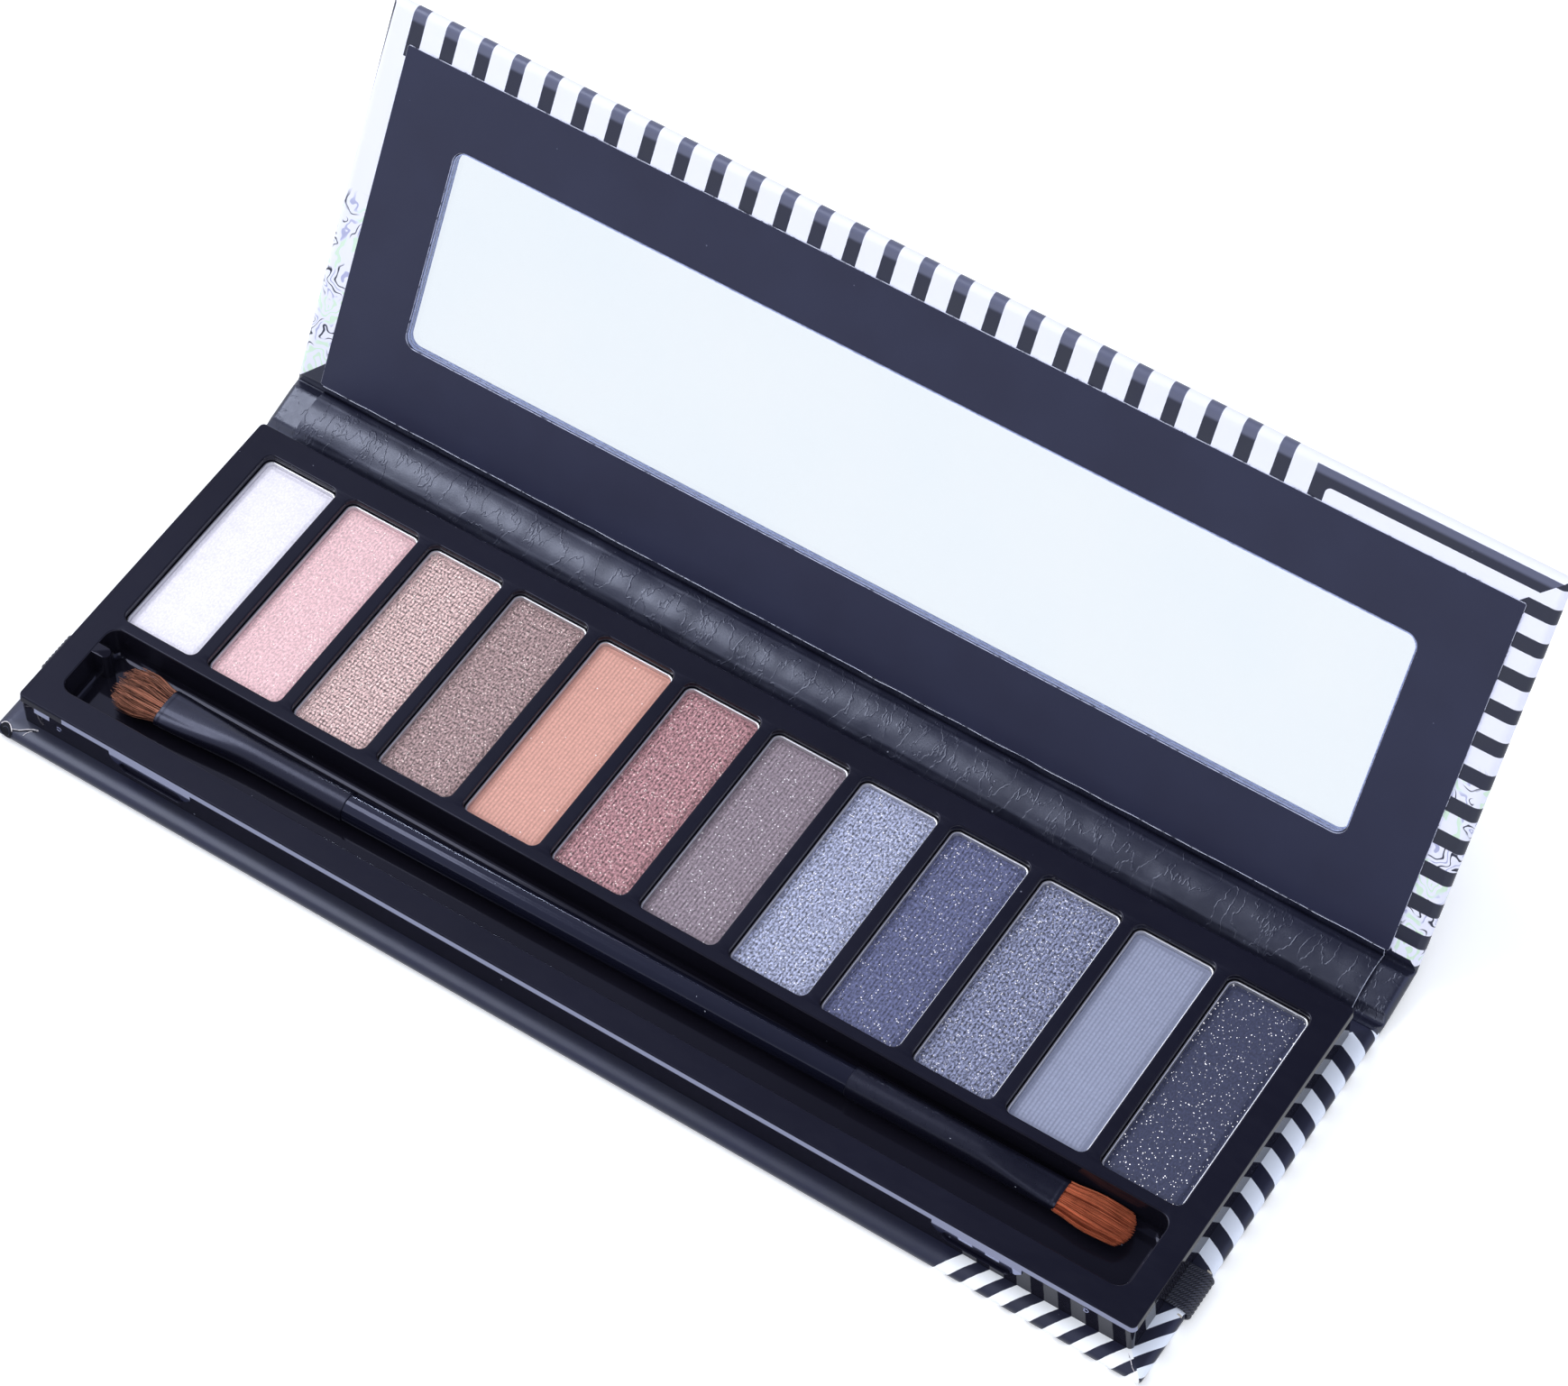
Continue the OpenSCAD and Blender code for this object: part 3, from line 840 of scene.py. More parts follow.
@dataclass(frozen=True)
class PrintedPaper(Finish):
    """Laminated paper printed with stripes, bars or curls."""

    layout: Layout
    white: Colour = rgb(237, 237, 252)

    def stripes(self, graph: Graph, coordinate: Value, start: float, pitch: float, width: float) -> Socket:
        """A stripe mask along a coordinate."""
        inputs = {"Coordinate": coordinate, "Start": start, "Pitch": pitch, "Width": width}
        return graph.effect(StripeInk(), inputs)["Ink"]

    def base_front(self, graph: Graph, u: Socket, v: Socket) -> Socket:
        """White share of the front rim: black, then slanting stripes."""
        slant = graph.plus(u, graph.chain(v, ("ADD", 1.8), ("MULTIPLY", 0.66)))
        white = self.stripes(graph, slant, 67.68, 4.35, 2.27)
        return graph.times(white, graph.above(slant, 67.3))

    def base_side(self, graph: Graph, u: Socket, v: Socket) -> Socket:
        """White share of the right rim: stripes that change slant under the band."""
        out = graph.plus(v, 1.8)
        back = self.stripes(graph, graph.plus(u, graph.times(out, 0.45)), 57.27, 5.62, 2.85)
        front = self.stripes(graph, graph.minus(u, graph.times(out, 1.45)), 4.4, 5.62, 2.6)
        return graph.between(graph.above(u, 12.0), front, back)

    def lid_top(self, graph: Graph, u: Socket, v: Socket) -> Socket:
        """White share of the lid's far rim: bars, then a framed corner."""
        bars = graph.times(self.stripes(graph, u, -93.97, 5.877, 2.35), graph.below(u, 56.5))
        outer = graph.times(graph.above(u, 58.95), graph.below(v, 0.35))
        round_r = 0.9
        right = graph.chain(graph.minus(61.3 + round_r, u), ("MAXIMUM", 0.0))
        up = graph.chain(v, ("ADD", 2.3 + round_r), ("MAXIMUM", 0.0))
        inside = graph.below(graph.plus(graph.math("POWER", right, 2.0), graph.math("POWER", up, 2.0)), round_r**2)
        frame = graph.times(outer, graph.minus(1.0, inside))
        return graph.minus(1.0, graph.math("MAXIMUM", bars, frame))

    def lid_left(self, graph: Graph, u: Socket, v: Socket) -> Socket:
        """White share of the lid's left rim: dark past its outer edge and in its far corner."""
        out = graph.plus(v, graph.chain(u, ("SUBTRACT", 65.6), ("MULTIPLY", 0.037)))
        border = graph.times(graph.above(out, 0.44), graph.below(v, 2.6))
        corner = graph.times(graph.below(v, -2.83), graph.above(u, 57.7))
        return graph.minus(1.0, graph.math("MAXIMUM", border, corner))

    def lid_hinge(self, graph: Graph, u: Socket, v: Socket) -> Socket:
        """White share of the lid's hinge edge: black, but barred like the right rim at its right end."""
        bars = self.stripes(graph, graph.minus(1.975, v), 20.4, 5.43, 2.4)
        face = graph.times(graph.above(u, 93.0), graph.below(v, 0.0))
        return graph.times(face, graph.minus(1.0, bars))

    def lid_right(self, graph: Graph, u: Socket, v: Socket) -> Socket:
        """White share of the lid's right rim: bars across it."""
        return graph.minus(1.0, self.stripes(graph, u, 20.4, 5.43, 2.4))

    def paint(self, graph: Graph) -> None:
        """Ink on white paper, with curls where the layout has them, and a painted highlight on the far rim's bars near
        the fold.
        """
        sheet = graph.sheet()
        wobble = graph.chain(graph.cloud(sheet, 0.8, 2.0), ("SUBTRACT", 0.5), ("MULTIPLY", 0.07))
        u, v = graph.split(graph.moved(sheet, graph.add("ShaderNodeCombineXYZ", {0: wobble, 1: wobble}).outputs[0]))
        rule = getattr(self, self.layout.value, None)
        white: Value = rule(graph, u, v) if rule else 1.0
        paper: Value = self.white
        if self.layout in (Layout.LID_RIGHT, Layout.LID_LEFT, Layout.LID_BACK, Layout.LID_HINGE):
            size = 11.0 if self.layout == Layout.LID_BACK else 3.4
            art = graph.effect(SwirlArt(), {"Vector": graph.moved(sheet, (7.0, 3.0, 0.0)), "Size": size})
            whole = self.layout in (Layout.LID_BACK, Layout.LID_HINGE)
            reach: Value = 1.0 if whole else graph.span(u, 34.5, 32.0)
            paper = graph.colour(graph.times(art["Leaf"], reach), paper, LEAF_INK)
            paper = graph.colour(graph.times(art["Wash"], reach), paper, LILAC_INK)
            paper = graph.colour(graph.times(art["Line"], reach), paper, BLACK_INK)
        skin = graph.effect(PaperSkin(), {"Vector": sheet})
        ink = graph.colour(graph.span(skin["Tone"], 0.3, 0.7), BLACK_INK, rgb(33, 34, 47))
        # On the lid's far rim the black bars are painted lighter towards the fold: a painted highlight where the round
        # edge catches the light.
        if self.layout == Layout.LID_TOP:
            ink = graph.colour(graph.span(v, -1.15, -0.55, 0.0, 0.62), ink, rgb(112, 115, 140))
        printed = graph.colour(white, ink, paper)
        printed = graph.dusted(printed, sheet, 0.06, 0.5, rgb(200, 204, 222))
        graph.finish(printed, graph.between(white, 0.34, 0.42), skin["Height"], 0.03, tint=COOL_GLOSS, ior=1.6)


@dataclass(frozen=True)
class GlossPaper(Finish):
    """Black laminated paper, with creases where it is folded and glued."""

    colour: Colour = rgb(27, 28, 48)
    rough: float = 0.36
    crumple: float = 0.04
    ior: float = 1.6

    def paint(self, graph: Graph) -> None:
        """Slow waves and short creases under a gloss film."""
        sheet = graph.sheet()
        skin = graph.effect(PaperSkin(), {"Vector": sheet})
        long_wave = graph.cloud(graph.scaled(sheet, (0.25, 1.0, 1.0)), 3.5, 2.0)
        crease = graph.chain(
            graph.cloud(graph.scaled(sheet, (1.0, 0.5, 1.0)), 3.0, 3.0), ("SUBTRACT", 0.5), ("ABSOLUTE", 0.0)
        )
        fold = graph.span(crease, 0.02, 0.0)
        height = graph.chain(graph.plus(skin["Height"], long_wave), ("ADD", graph.times(fold, 0.25)))
        tone = graph.colour(graph.span(skin["Tone"], 0.25, 0.75), self.colour, tinted(self.colour, 1.35))
        tone = graph.dusted(tone, sheet, 0.15, 0.55, rgb(190, 194, 214))
        rough = graph.between(graph.cloud(sheet, 1.2, 3.0), self.rough - 0.06, self.rough + 0.08)
        graph.finish(tone, rough, height, self.crumple, tint=COOL_GLOSS, ior=self.ior)


@dataclass(frozen=True)
class LinerPaper(Finish):
    """Satin black paper that faces the lid's inside."""

    def paint(self, graph: Graph) -> None:
        """Fibre and a few specks on a satin black."""
        sheet = graph.sheet()
        skin = graph.effect(PaperSkin(), {"Vector": sheet})
        tone = graph.colour(graph.span(skin["Tone"], 0.25, 0.75), rgb(34, 35, 58), rgb(38, 40, 64))
        tone = graph.dusted(tone, sheet, 0.1, 0.4, rgb(150, 154, 178))
        rough = graph.between(graph.cloud(sheet, 0.6, 3.0), 0.44, 0.54)
        graph.finish(tone, rough, skin["Height"], 0.02, tint=COOL_GLOSS)


@dataclass(frozen=True)
class CutPaper(Finish):
    """The pale core of black paper, seen at a cut edge."""

    colour: Colour = rgb(205, 208, 226)

    def paint(self, graph: Graph) -> None:
        """Ragged fibre: pale, with dark ink in places."""
        place = graph.place()
        torn = graph.span(graph.cloud(place, 1.1, 4.0, 0.7), 0.34, 0.5)
        tone = graph.colour(torn, rgb(60, 62, 80), self.colour)
        graph.finish(tone, 0.8, graph.cloud(place, 0.12, 2.0), 0.04)


@dataclass(frozen=True)
class TrayPlastic(Finish):
    """Black moulded plastic, satin on top and glossy on the walls."""

    colour: Colour
    rough: float
    grain: float
    depth: float
    specular: float = 0.5
    ior: float = 1.5
    tint: Colour = COOL_GLOSS

    def paint(self, graph: Graph) -> None:
        """Flow waves, fine grain, faint scuffs and dust."""
        place = graph.place()
        skin = graph.effect(MouldedSkin(), {"Vector": place, "Grain": self.grain})
        tone = graph.colour(graph.span(skin["Tone"], 0.3, 0.7), tinted(self.colour, 0.82), self.colour)
        tone = graph.dusted(tone, place, 0.12, 0.5, rgb(170, 174, 196))
        scuff = graph.span(graph.cloud(graph.scaled(place, (0.3, 1.0, 1.0)), 1.6, 4.0, 0.7), 0.35, 0.75)
        rough = graph.between(scuff, self.rough * 0.9, self.rough * 1.2)
        graph.finish(tone, rough, skin["Height"], self.depth, level=self.specular, tint=self.tint, ior=self.ior)


class Press(Enum):
    """The patterns that a powder press leaves."""

    PLAIN = "plain"
    RIBS = "ribs"
    WEAVE = "weave"


@dataclass(frozen=True)
class PressedPowder(Finish):
    """Pressed eyeshadow: fine grain, the press's pattern with its relief painted as shade, pearl, and flakes painted as
    glints.
    """

    colour: Colour
    press: Press = Press.RIBS
    cell: float = 0.62
    relief: float = 0.06
    painted_relief_shade: float = 0.35
    grain: float = 1.0
    pearl: float = 0.1
    flakes: float = 0.1
    flake: float = 0.26
    dot: float = 1.0
    # Colour of the flakes' painted glint, which they also glow in.
    glint: Colour = rgb(255, 252, 255)
    spark: float = 0.3
    rough: float = 0.6

    def paint(self, graph: Graph) -> None:
        """Pearl, grain and the press's pattern, whose grooves are painted darker and crowns lighter, tone the powder;
        flakes are painted as glowing glints.
        """
        sheet = graph.sheet()
        pressed = graph.pressed()
        grain = graph.span(graph.cloud(graph.scaled(sheet, (1.0, 0.62, 1.0)), 0.3, 2.0, 0.6), 0.32, 0.72)
        height: Value = graph.times(grain, 0.5 * min(self.grain, 1.0))
        shade: Value = graph.chain(grain, ("SUBTRACT", 0.42), ("MULTIPLY", self.grain))
        if self.press is not Press.PLAIN:
            effect = PressRibs() if self.press is Press.RIBS else PressWeave()
            print_height = graph.effect(effect, {"Vector": sheet, "Cell": self.cell})["Height"]
            print_height = graph.times(print_height, pressed)
            height = graph.plus(height, print_height)
            # The pattern's crowns are painted lighter and its grooves darker: painted shade of the press's relief, on
            # top of its bump.
            level = graph.chain(print_height, ("SUBTRACT", graph.times(pressed, 0.55)), ("MULTIPLY", self.painted_relief_shade))
            shade = graph.plus(shade, level)
        blotch = graph.chain(graph.cloud(sheet, 2.6, 3.0, 0.6), ("SUBTRACT", 0.5), ("MULTIPLY", 0.16))
        shade = graph.math("MAXIMUM", graph.plus(shade, blotch), -0.8)
        tone = graph.grown(self.colour[:3], graph.plus(shade, 1.0))
        flakes = graph.effect(Glitter(), {"Vector": sheet, "Cell": self.flake, "Share": self.flakes, "Size": self.dot})
        flake = graph.times(flakes["Flake"], flakes["Tone"])
        # Flakes are painted as glints: they take the glint colour and glow in it by their own emission, a painted
        # highlight.
        tone = graph.colour(flake, tone, self.glint)
        rough = graph.between(flake, self.rough, 0.35)
        metal = graph.between(flake, self.pearl, 0.0)
        glow = graph.colour(flake, (0.0, 0.0, 0.0, 1.0), self.glint)
        graph.finish(tone, rough, height, self.relief, metal=metal, glow=glow, spark=self.spark)


@dataclass(frozen=True)
class PanTin(Finish):
    """Thin bright tin of a pan, rubbed by powder."""

    def paint(self, graph: Graph) -> None:
        """Drawn metal with fine scratches and powder film."""
        place = graph.place()
        line = graph.cloud(graph.scaled(place, (1.0, 1.0, 6.0)), 0.5, 3.0, 0.7)
        film = graph.span(graph.cloud(place, 1.4, 3.0, 0.7), 0.5, 0.75)
        tone = graph.colour(film, rgb(236, 241, 252), rgb(190, 190, 204))
        rough = graph.between(film, 0.2, 0.45)
        graph.finish(tone, rough, line, 0.02, metal=0.55)


@dataclass(frozen=True)
class MirrorGlass(Finish):
    """Clear float glass."""

    def paint(self, graph: Graph) -> None:
        """Clear glass with the faintest smears."""
        sheet = graph.sheet()
        smear = graph.span(graph.cloud(graph.scaled(sheet, (0.4, 1.0, 1.0)), 9.0, 4.0, 0.7), 0.55, 0.9)
        tone, height = (0.975, 0.99, 1.0, 1.0), graph.cloud(sheet, 30.0, 1.0)
        graph.finish(tone, graph.times(smear, 0.02), height, 0.002, ior=1.5, clear=1.0)


@dataclass(frozen=True)
class GroundGlass(Finish):
    """The ground edge of the mirror."""

    def paint(self, graph: Graph) -> None:
        """Frosted blue grey with grinding lines, that glows by its own emission as a painted highlight."""
        place = graph.place()
        line = graph.cloud(graph.scaled(place, (0.3, 1.0, 1.0)), 0.25, 3.0, 0.7)
        tone = graph.colour(graph.span(line, 0.3, 0.7), rgb(128, 140, 186), rgb(186, 198, 236))
        # The edge glows in its own colour though it is no lamp: a painted highlight.
        graph.finish(tone, 0.45, line, 0.03, glow=tone, spark=0.3)


@dataclass(frozen=True)
class Silvering(Finish):
    """The mirror's silvered back."""

    def paint(self, graph: Graph) -> None:
        """Bright metal, very faintly clouded."""
        haze = graph.cloud(graph.sheet(), 25.0, 3.0)
        tone = graph.colour(haze, rgb(251, 252, 255), rgb(244, 249, 255))
        graph.finish(tone, graph.times(haze, 0.03), haze, 0.002, metal=1.0)


@dataclass(frozen=True)
class Lacquer(Finish):
    """Black coating of the brush: gloss on the handle, satin on the ferrules."""

    colour: Colour
    rough: float
    specular: float = 0.5
    tint: Colour = (0.7, 0.74, 1.0, 1.0)

    def paint(self, graph: Graph) -> None:
        """Fine lines along the tube, scuffs and dust."""
        place = graph.place()
        drawn = graph.cloud(graph.scaled(place, (0.12, 1.0, 1.0)), 0.4, 3.0, 0.6)
        tone = graph.colour(graph.cloud(place, 7.0, 2.0), self.colour, tinted(self.colour, 1.4))
        tone = graph.dusted(tone, place, 0.2, 0.6, rgb(200, 204, 220))
        rough = graph.between(graph.cloud(place, 1.0, 3.0), self.rough * 0.8, self.rough * 1.25)
        graph.finish(tone, rough, drawn, 0.004, level=self.specular, tint=self.tint)


@dataclass(frozen=True)
class Bristle(Finish):
    """Hair, darker in places and paler in others."""

    dark: Colour
    pale: Colour

    def paint(self, graph: Graph) -> None:
        """Each hair takes its own tone."""
        own = graph.pressed()
        place = graph.place()
        drift = graph.plus(own, graph.times(graph.cloud(place, 1.5, 2.0), 0.5))
        tone = graph.colour(graph.span(drift, 0.3, 1.2), self.dark, self.pale)
        graph.finish(tone, 0.6, graph.cloud(place, 0.05, 1.0), 0.01, level=0.3)


@dataclass(frozen=True)
class RibbedElastic(Finish):
    """Black knitted elastic: stitches along each rib."""

    def paint(self, graph: Graph) -> None:
        """Slanting stitches, painted paler at their crowns as a highlight."""
        sheet = graph.sheet()
        u, v = graph.split(sheet)
        slant = graph.plus(u, graph.times(v, 0.8))
        stitch = graph.size(graph.sine(graph.times(slant, pi / 0.42)))
        fuzz = graph.cloud(sheet, 0.12, 3.0, 0.7)
        # The stitches' crowns are painted pale: a painted highlight on the ribs.
        tone = graph.colour(graph.times(stitch, graph.span(fuzz, 0.3, 0.7)), rgb(5, 5, 9), rgb(76, 79, 100))
        height = graph.plus(stitch, graph.times(fuzz, 0.4))
        graph.finish(tone, 0.55, height, 0.06)


@dataclass(frozen=True)
class PlainStock(Finish):
    """Board, tape or glue that stays hidden: fibre or film in two tones."""

    dark: Colour
    pale: Colour
    size: float = 0.5
    rough: float = 0.8

    def paint(self, graph: Graph) -> None:
        """Mottled in two tones, with the same mottle as relief."""
        place = graph.place()
        mottle = graph.cloud(place, self.size, 4.0, 0.65)
        tone = graph.colour(mottle, self.dark, self.pale)
        rough = graph.between(mottle, self.rough - 0.08, self.rough + 0.08)
        graph.finish(tone, rough, mottle, 0.04)


# ---- The case ----


class Edge(Enum):
    """The sides of a board, in the order they are walked."""

    FRONT = 0
    RIGHT = 1
    BACK = 2
    LEFT = 3


INSIDE, OUTSIDE = 4, 5


@dataclass(frozen=True)
class WrappedBoard:
    """Greyboard wrapped in printed paper: round edges, mitred corners, flat faces."""

    name: str
    board: Board
    body: str
    slot: str
    nodes: tuple[str, ...]
    outline: Outline
    sides: tuple[Finish, Finish, Finish, Finish]
    inside: Finish
    outside: Finish
    half: float = 1.2
    inner_reach: float = 5.0
    outer_reach: float = 9.0
    groove: tuple[float, float, float] | None = None
    windows: tuple[Outline, ...] = ()
    window_floor: float = 0.0
    window_closed: bool = False
    crown: float = 1.2
    squareness: float = 2.5
    sag: float = 0.035

    def stations(self) -> list[float]:
        """Where the long rows have extra points, across the board."""
        if self.groove is None:
            return []
        low, high, _ = self.groove
        return [low, low + 0.2, high - 0.2, high]

    def height(self, y: float, n: float) -> float:
        """Height n, above the groove that crosses the outer face and squarer at the edge over it."""
        if self.groove is None:
            return n
        low, high, depth = self.groove
        inside = min(1.0, max(0.0, (y - low) / 0.2), max(0.0, (high - y) / 0.2))
        if n > 0:
            return n + (self.half * (n / self.half) ** 0.25 - n) * inside
        return max(n, -self.half + depth * inside)

    def section(self) -> list[tuple[float, float, float]]:
        """(distance along the paper, inset from the tip, height) down the wrapped edge."""
        r, run = self.half, self.crown
        rows = [(a, r - a, r) for a in (-self.inner_reach, r - run - 0.4)]
        power = 1.0 if run == r else 2 / self.squareness
        upper = [(run * (1 - sin(t) ** power), r * abs(cos(t)) ** power) for t in spread(0, pi / 2, 14)]
        steps = [dist(a, b) for a, b in zip(upper, upper[1:])]
        reach = run - r + pi / 2 * r
        passed = [sum(steps[:k]) / sum(steps) for k in range(len(upper))]
        rows += [(r - run + reach * part, inset, height) for part, (inset, height) in zip(passed, upper)]
        rows += [(r * t, r * (1 - sin(t)), r * cos(t)) for t in spread(pi / 2, pi, 8)[1:]]
        return rows + [(pi * r + a, r + a, -r) for a in (0.6, self.outer_reach)]

    def row(self, edge: Edge, inset: float) -> list[Flat]:
        """Points along one side, from one mitre to the next.

        Args:
            edge: The side.
            inset: How far inside the tip of the edge the row lies.

        Returns:
            The points, anticlockwise.
        """
        o, k = self.outline, edge.value
        r = max(o.r - inset, 0.0)
        x0, x1, y0, y1 = o.x0 + inset + r, o.x1 - inset - r, o.y0 + inset + r, o.y1 - inset - r
        corners = [(x0, y0), (x1, y0), (x1, y1), (x0, y1)]
        (ax, ay), (bx, by) = corners[k], corners[(k + 1) % 4]
        out = radians(90 * k - 90)
        turns = spread(0, radians(45), 5)
        first = arc(ax, ay, r, [out + t - turns[-1] for t in turns])
        last = arc(bx, by, r, [out + t for t in turns])
        sx, sy = first[-1]
        tx, ty = last[0]
        middle = [(sx + (tx - sx) * t, sy + (ty - sy) * t) for t in spread(0, 1, 24)[1:-1]]
        if edge in (Edge.RIGHT, Edge.LEFT) and self.groove:
            marks = sorted([y for _, y in middle] + self.stations(), reverse=edge is Edge.LEFT)
            middle = [(sx, min(max(y, y0), y1)) for y in marks]
        return first + middle + last

    def give(self, edge: Edge, u: float, distance: float) -> float:
        """How far the paper bulges or sinks there, as glued paper does."""
        bulge = self.sag * wander(u, distance * 2 + 9 * edge.value, 7.0)
        return bulge * smooth(distance, -0.6, 0.6) * smooth(distance, 4.4, 3.2)

    def wrap(self, skin: Skin, edge: Edge) -> None:
        """Adds the paper of one side."""
        rows, sheet = [], []
        for distance, inset, height in self.section():
            flat = self.row(edge, inset)
            lateral = edge in (Edge.RIGHT, Edge.LEFT)
            along = [y if lateral else x for x, y in flat]
            swell = [self.give(edge, u, distance) for u in along]
            face = -cos(min(max(distance / self.half, 0.0), pi))
            rows.append([(x, y, self.height(y, height) - face * w) for (x, y), w in zip(flat, swell)])
            sheet.append([(u, distance) for u in along])
        skin.grid(rows, sheet, finish=edge.value)

    def faces(self, skin: Skin) -> None:
        """Adds the flat inner and outer faces."""
        o, reach = self.outline, self.half + self.inner_reach
        x0, x1, y0, y1 = o.x0 + reach, o.x1 - reach, o.y0 + reach, o.y1 - reach
        corners = ((x1, y0), (x1, y1), (x0, y1), (x0, y0))
        loops = [skin.add([(x, y, self.half) for x, y in corners])]
        for window in self.windows:
            walls = skin.sweep(window, [(0.0, self.half), (0.0, self.window_floor)], finish=INSIDE)
            loops.append(walls[0])
            if self.window_closed:
                skin.fill(walls[1], finish=INSIDE)
        skin.fill(*loops, finish=INSIDE)
        reach = self.half + self.outer_reach
        ys = sorted({o.y0 + reach, o.y1 - reach, *[y for y in self.stations() if y > o.y0 + reach]})
        xs = spread(o.x0 + reach, o.x1 - reach, 3)
        rows = [[(x, y, self.height(y, -self.half)) for y in ys] for x in xs]
        sheet = [[(x, pi * self.half + y - o.y0 - self.half) for y in ys] for x in xs]
        skin.grid(rows, sheet, finish=OUTSIDE)

    def build(self) -> Piece:
        """Builds and dresses the board."""
        skin = Skin()
        for edge in Edge:
            self.wrap(skin, edge)
        self.faces(skin)
        piece = skin.make(self.name, self.board, (*self.sides, self.inside, self.outside))
        return settle(piece, self.body, self.slot, *self.nodes)


# Finish numbers of the corner folds; the third is a near-black painted shade.
PAPER, SHADE_PAINT = 1, 2


@dataclass(frozen=True)
class CornerFolds:
    """Cut paper edges at the base's front corners, with lines of painted shade beside them, and the open roll at the
    left one, whose dark inside is painted shade.
    """

    cut: Finish
    paper: Finish
    shade_paint: Finish
    front: float = -3.0
    half: float = 1.2
    crown: float = 2.9
    squareness: float = 2.5
    mouth: Flat = (-95.95, 60.0)
    mouth_half: Flat = (1.25, 34.0)
    skew: float = 13.5

    def on_roll(self, x: float, turn: float, lift: float) -> Point:
        """A place on the rolled front edge, turn degrees down from its top and lift mm off it."""
        t = radians(turn)
        sine, cosine = sin(t), cos(t)
        if turn > 90:
            inset, height = self.half * (1 - sine), self.half * cosine
        else:
            power = 2 / self.squareness
            inset, height = self.crown * (1 - max(sine, 0.0) ** power), self.half * cosine**power
        return (x, self.front + inset - lift * sine, height + lift * cosine)

    def ring(self, share: float, start: float, end: float, count: int, lift: float) -> list[Point]:
        """Points of an arc round the roll's mouth.

        Args:
            share: The arc's size against the mouth's own rim.
            start: Where it starts, in degrees; 0 is the right end and 90 the lowest point.
            end: Where it ends.
            count: How many points it has.
            lift: How far it lies off the paper.

        Returns:
            The points.
        """
        found = []
        for a in spread(radians(start), radians(end), count):
            turn = self.mouth[1] + share * (self.skew * cos(a) + self.mouth_half[1] * sin(a))
            found.append(self.on_roll(self.mouth[0] + share * self.mouth_half[0] * cos(a), turn, lift))
        return found

    def roll_mouth(self, skin: Skin) -> None:
        """Adds the open end of the rolled edge at the left corner: a flat disc of painted shade for its dark inside,
        and rims round it.
        """
        # The mouth is a flat disc painted near black: painted shade for the roll's dark inside.
        rings = [self.ring(share, 0, 345, 24, 0.03) for share in (1.0, 0.7, 0.4, 0.15)]
        loops = skin.grid(rings, finish=SHADE_PAINT, closed=True)
        skin.face(loops[-1], SHADE_PAINT)
        skin.tube(self.ring(1.0, -15, 195, 16, 0.04), 0.08, PAPER)
        skin.tube(self.ring(0.55, 190, 400, 12, 0.05), 0.05, PAPER)
        skin.tube(self.ring(1.0, 195, 318, 14, 0.1), 0.075)

    def creases(self, skin: Skin) -> None:
        """Adds the cut edges that cross the rim at both corners, with painted shade beside the left crease and at the
        right corner's tip.
        """
        main = ((-95.35, 40), (-94.75, 34), (-94.1, 28), (-93.1, 13), (-92.4, 6), (-91.7, 2))
        skin.tube([self.on_roll(x, turn, 0.07) for x, turn in main], 0.07)
        # A darker line of painted shade beside the crease.
        skin.tube([self.on_roll(x, turn + 5, 0.03) for x, turn in main], 0.09, SHADE_PAINT)
        lower = ((-93.15, 40), (-93.0, 27), (-92.6, 15), (-92.0, 7), (-91.6, 3))
        skin.tube([self.on_roll(x, turn, 0.04) for x, turn in lower], 0.045)
        skin.tube(((94.6, -0.35, 1.22), (95.4, -1.1, 1.2), (96.1, -1.85, 1.08), (96.7, -2.2, 0.9)), 0.05)
        # A painted shadow at the right corner's tip.
        skin.tube(((97.0, -2.45, 0.62), (97.35, -2.55, 0.3), (97.5, -2.6, -0.1)), 0.13, SHADE_PAINT)

    def build(self) -> Piece:
        """Builds the folds."""
        skin = Skin()
        self.roll_mouth(skin)
        self.creases(skin)
        piece = skin.make("corner_folds", BASE, (self.cut, self.paper, self.shade_paint), weighted=False)
        return settle(piece, "base", "base_print")


@dataclass(frozen=True)
class Hinge:
    """A paper hinge between two boards, bent at rest."""

    frame: Board
    bend: float
    parent: str
    child: str
    reach: float = 0.6
    valley: float = 0.35
    face: float = 1.2
    shoulder: float = 1.95

    def place(self, x: float, q: float, n: float) -> Point:
        """Where a point of the flat paper lies when the hinge is bent as at rest."""
        a = radians(self.bend) * smooth(q, -self.reach, self.reach)
        return (x, q * cos(a) - n * sin(a), q * sin(a) + n * cos(a))

    def profile(self, q: float) -> float:
        """Half thickness of the case at q: a valley between the boards' round edges."""
        t = min(abs(q) / self.shoulder, 1.0)
        return self.valley + (self.face - self.valley) * (1 - cos(pi * t)) / 2

    def bind(self, piece: Piece, slot: str, *nodes: str) -> Piece:
        """Bakes a piece's frame into its mesh and hides the CAD nodes that it replaces.

        Args:
            piece: The finished piece.
            slot: Not used.
            nodes: The CAD nodes that it replaces.

        Returns:
            The same piece.
        """
        start = self.frame.at(0.0, -self.reach, 0.0)
        end = self.frame.at(*self.place(0.0, self.reach, 0.0))
        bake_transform(piece)
        if nodes:
            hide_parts(*nodes)
        return piece


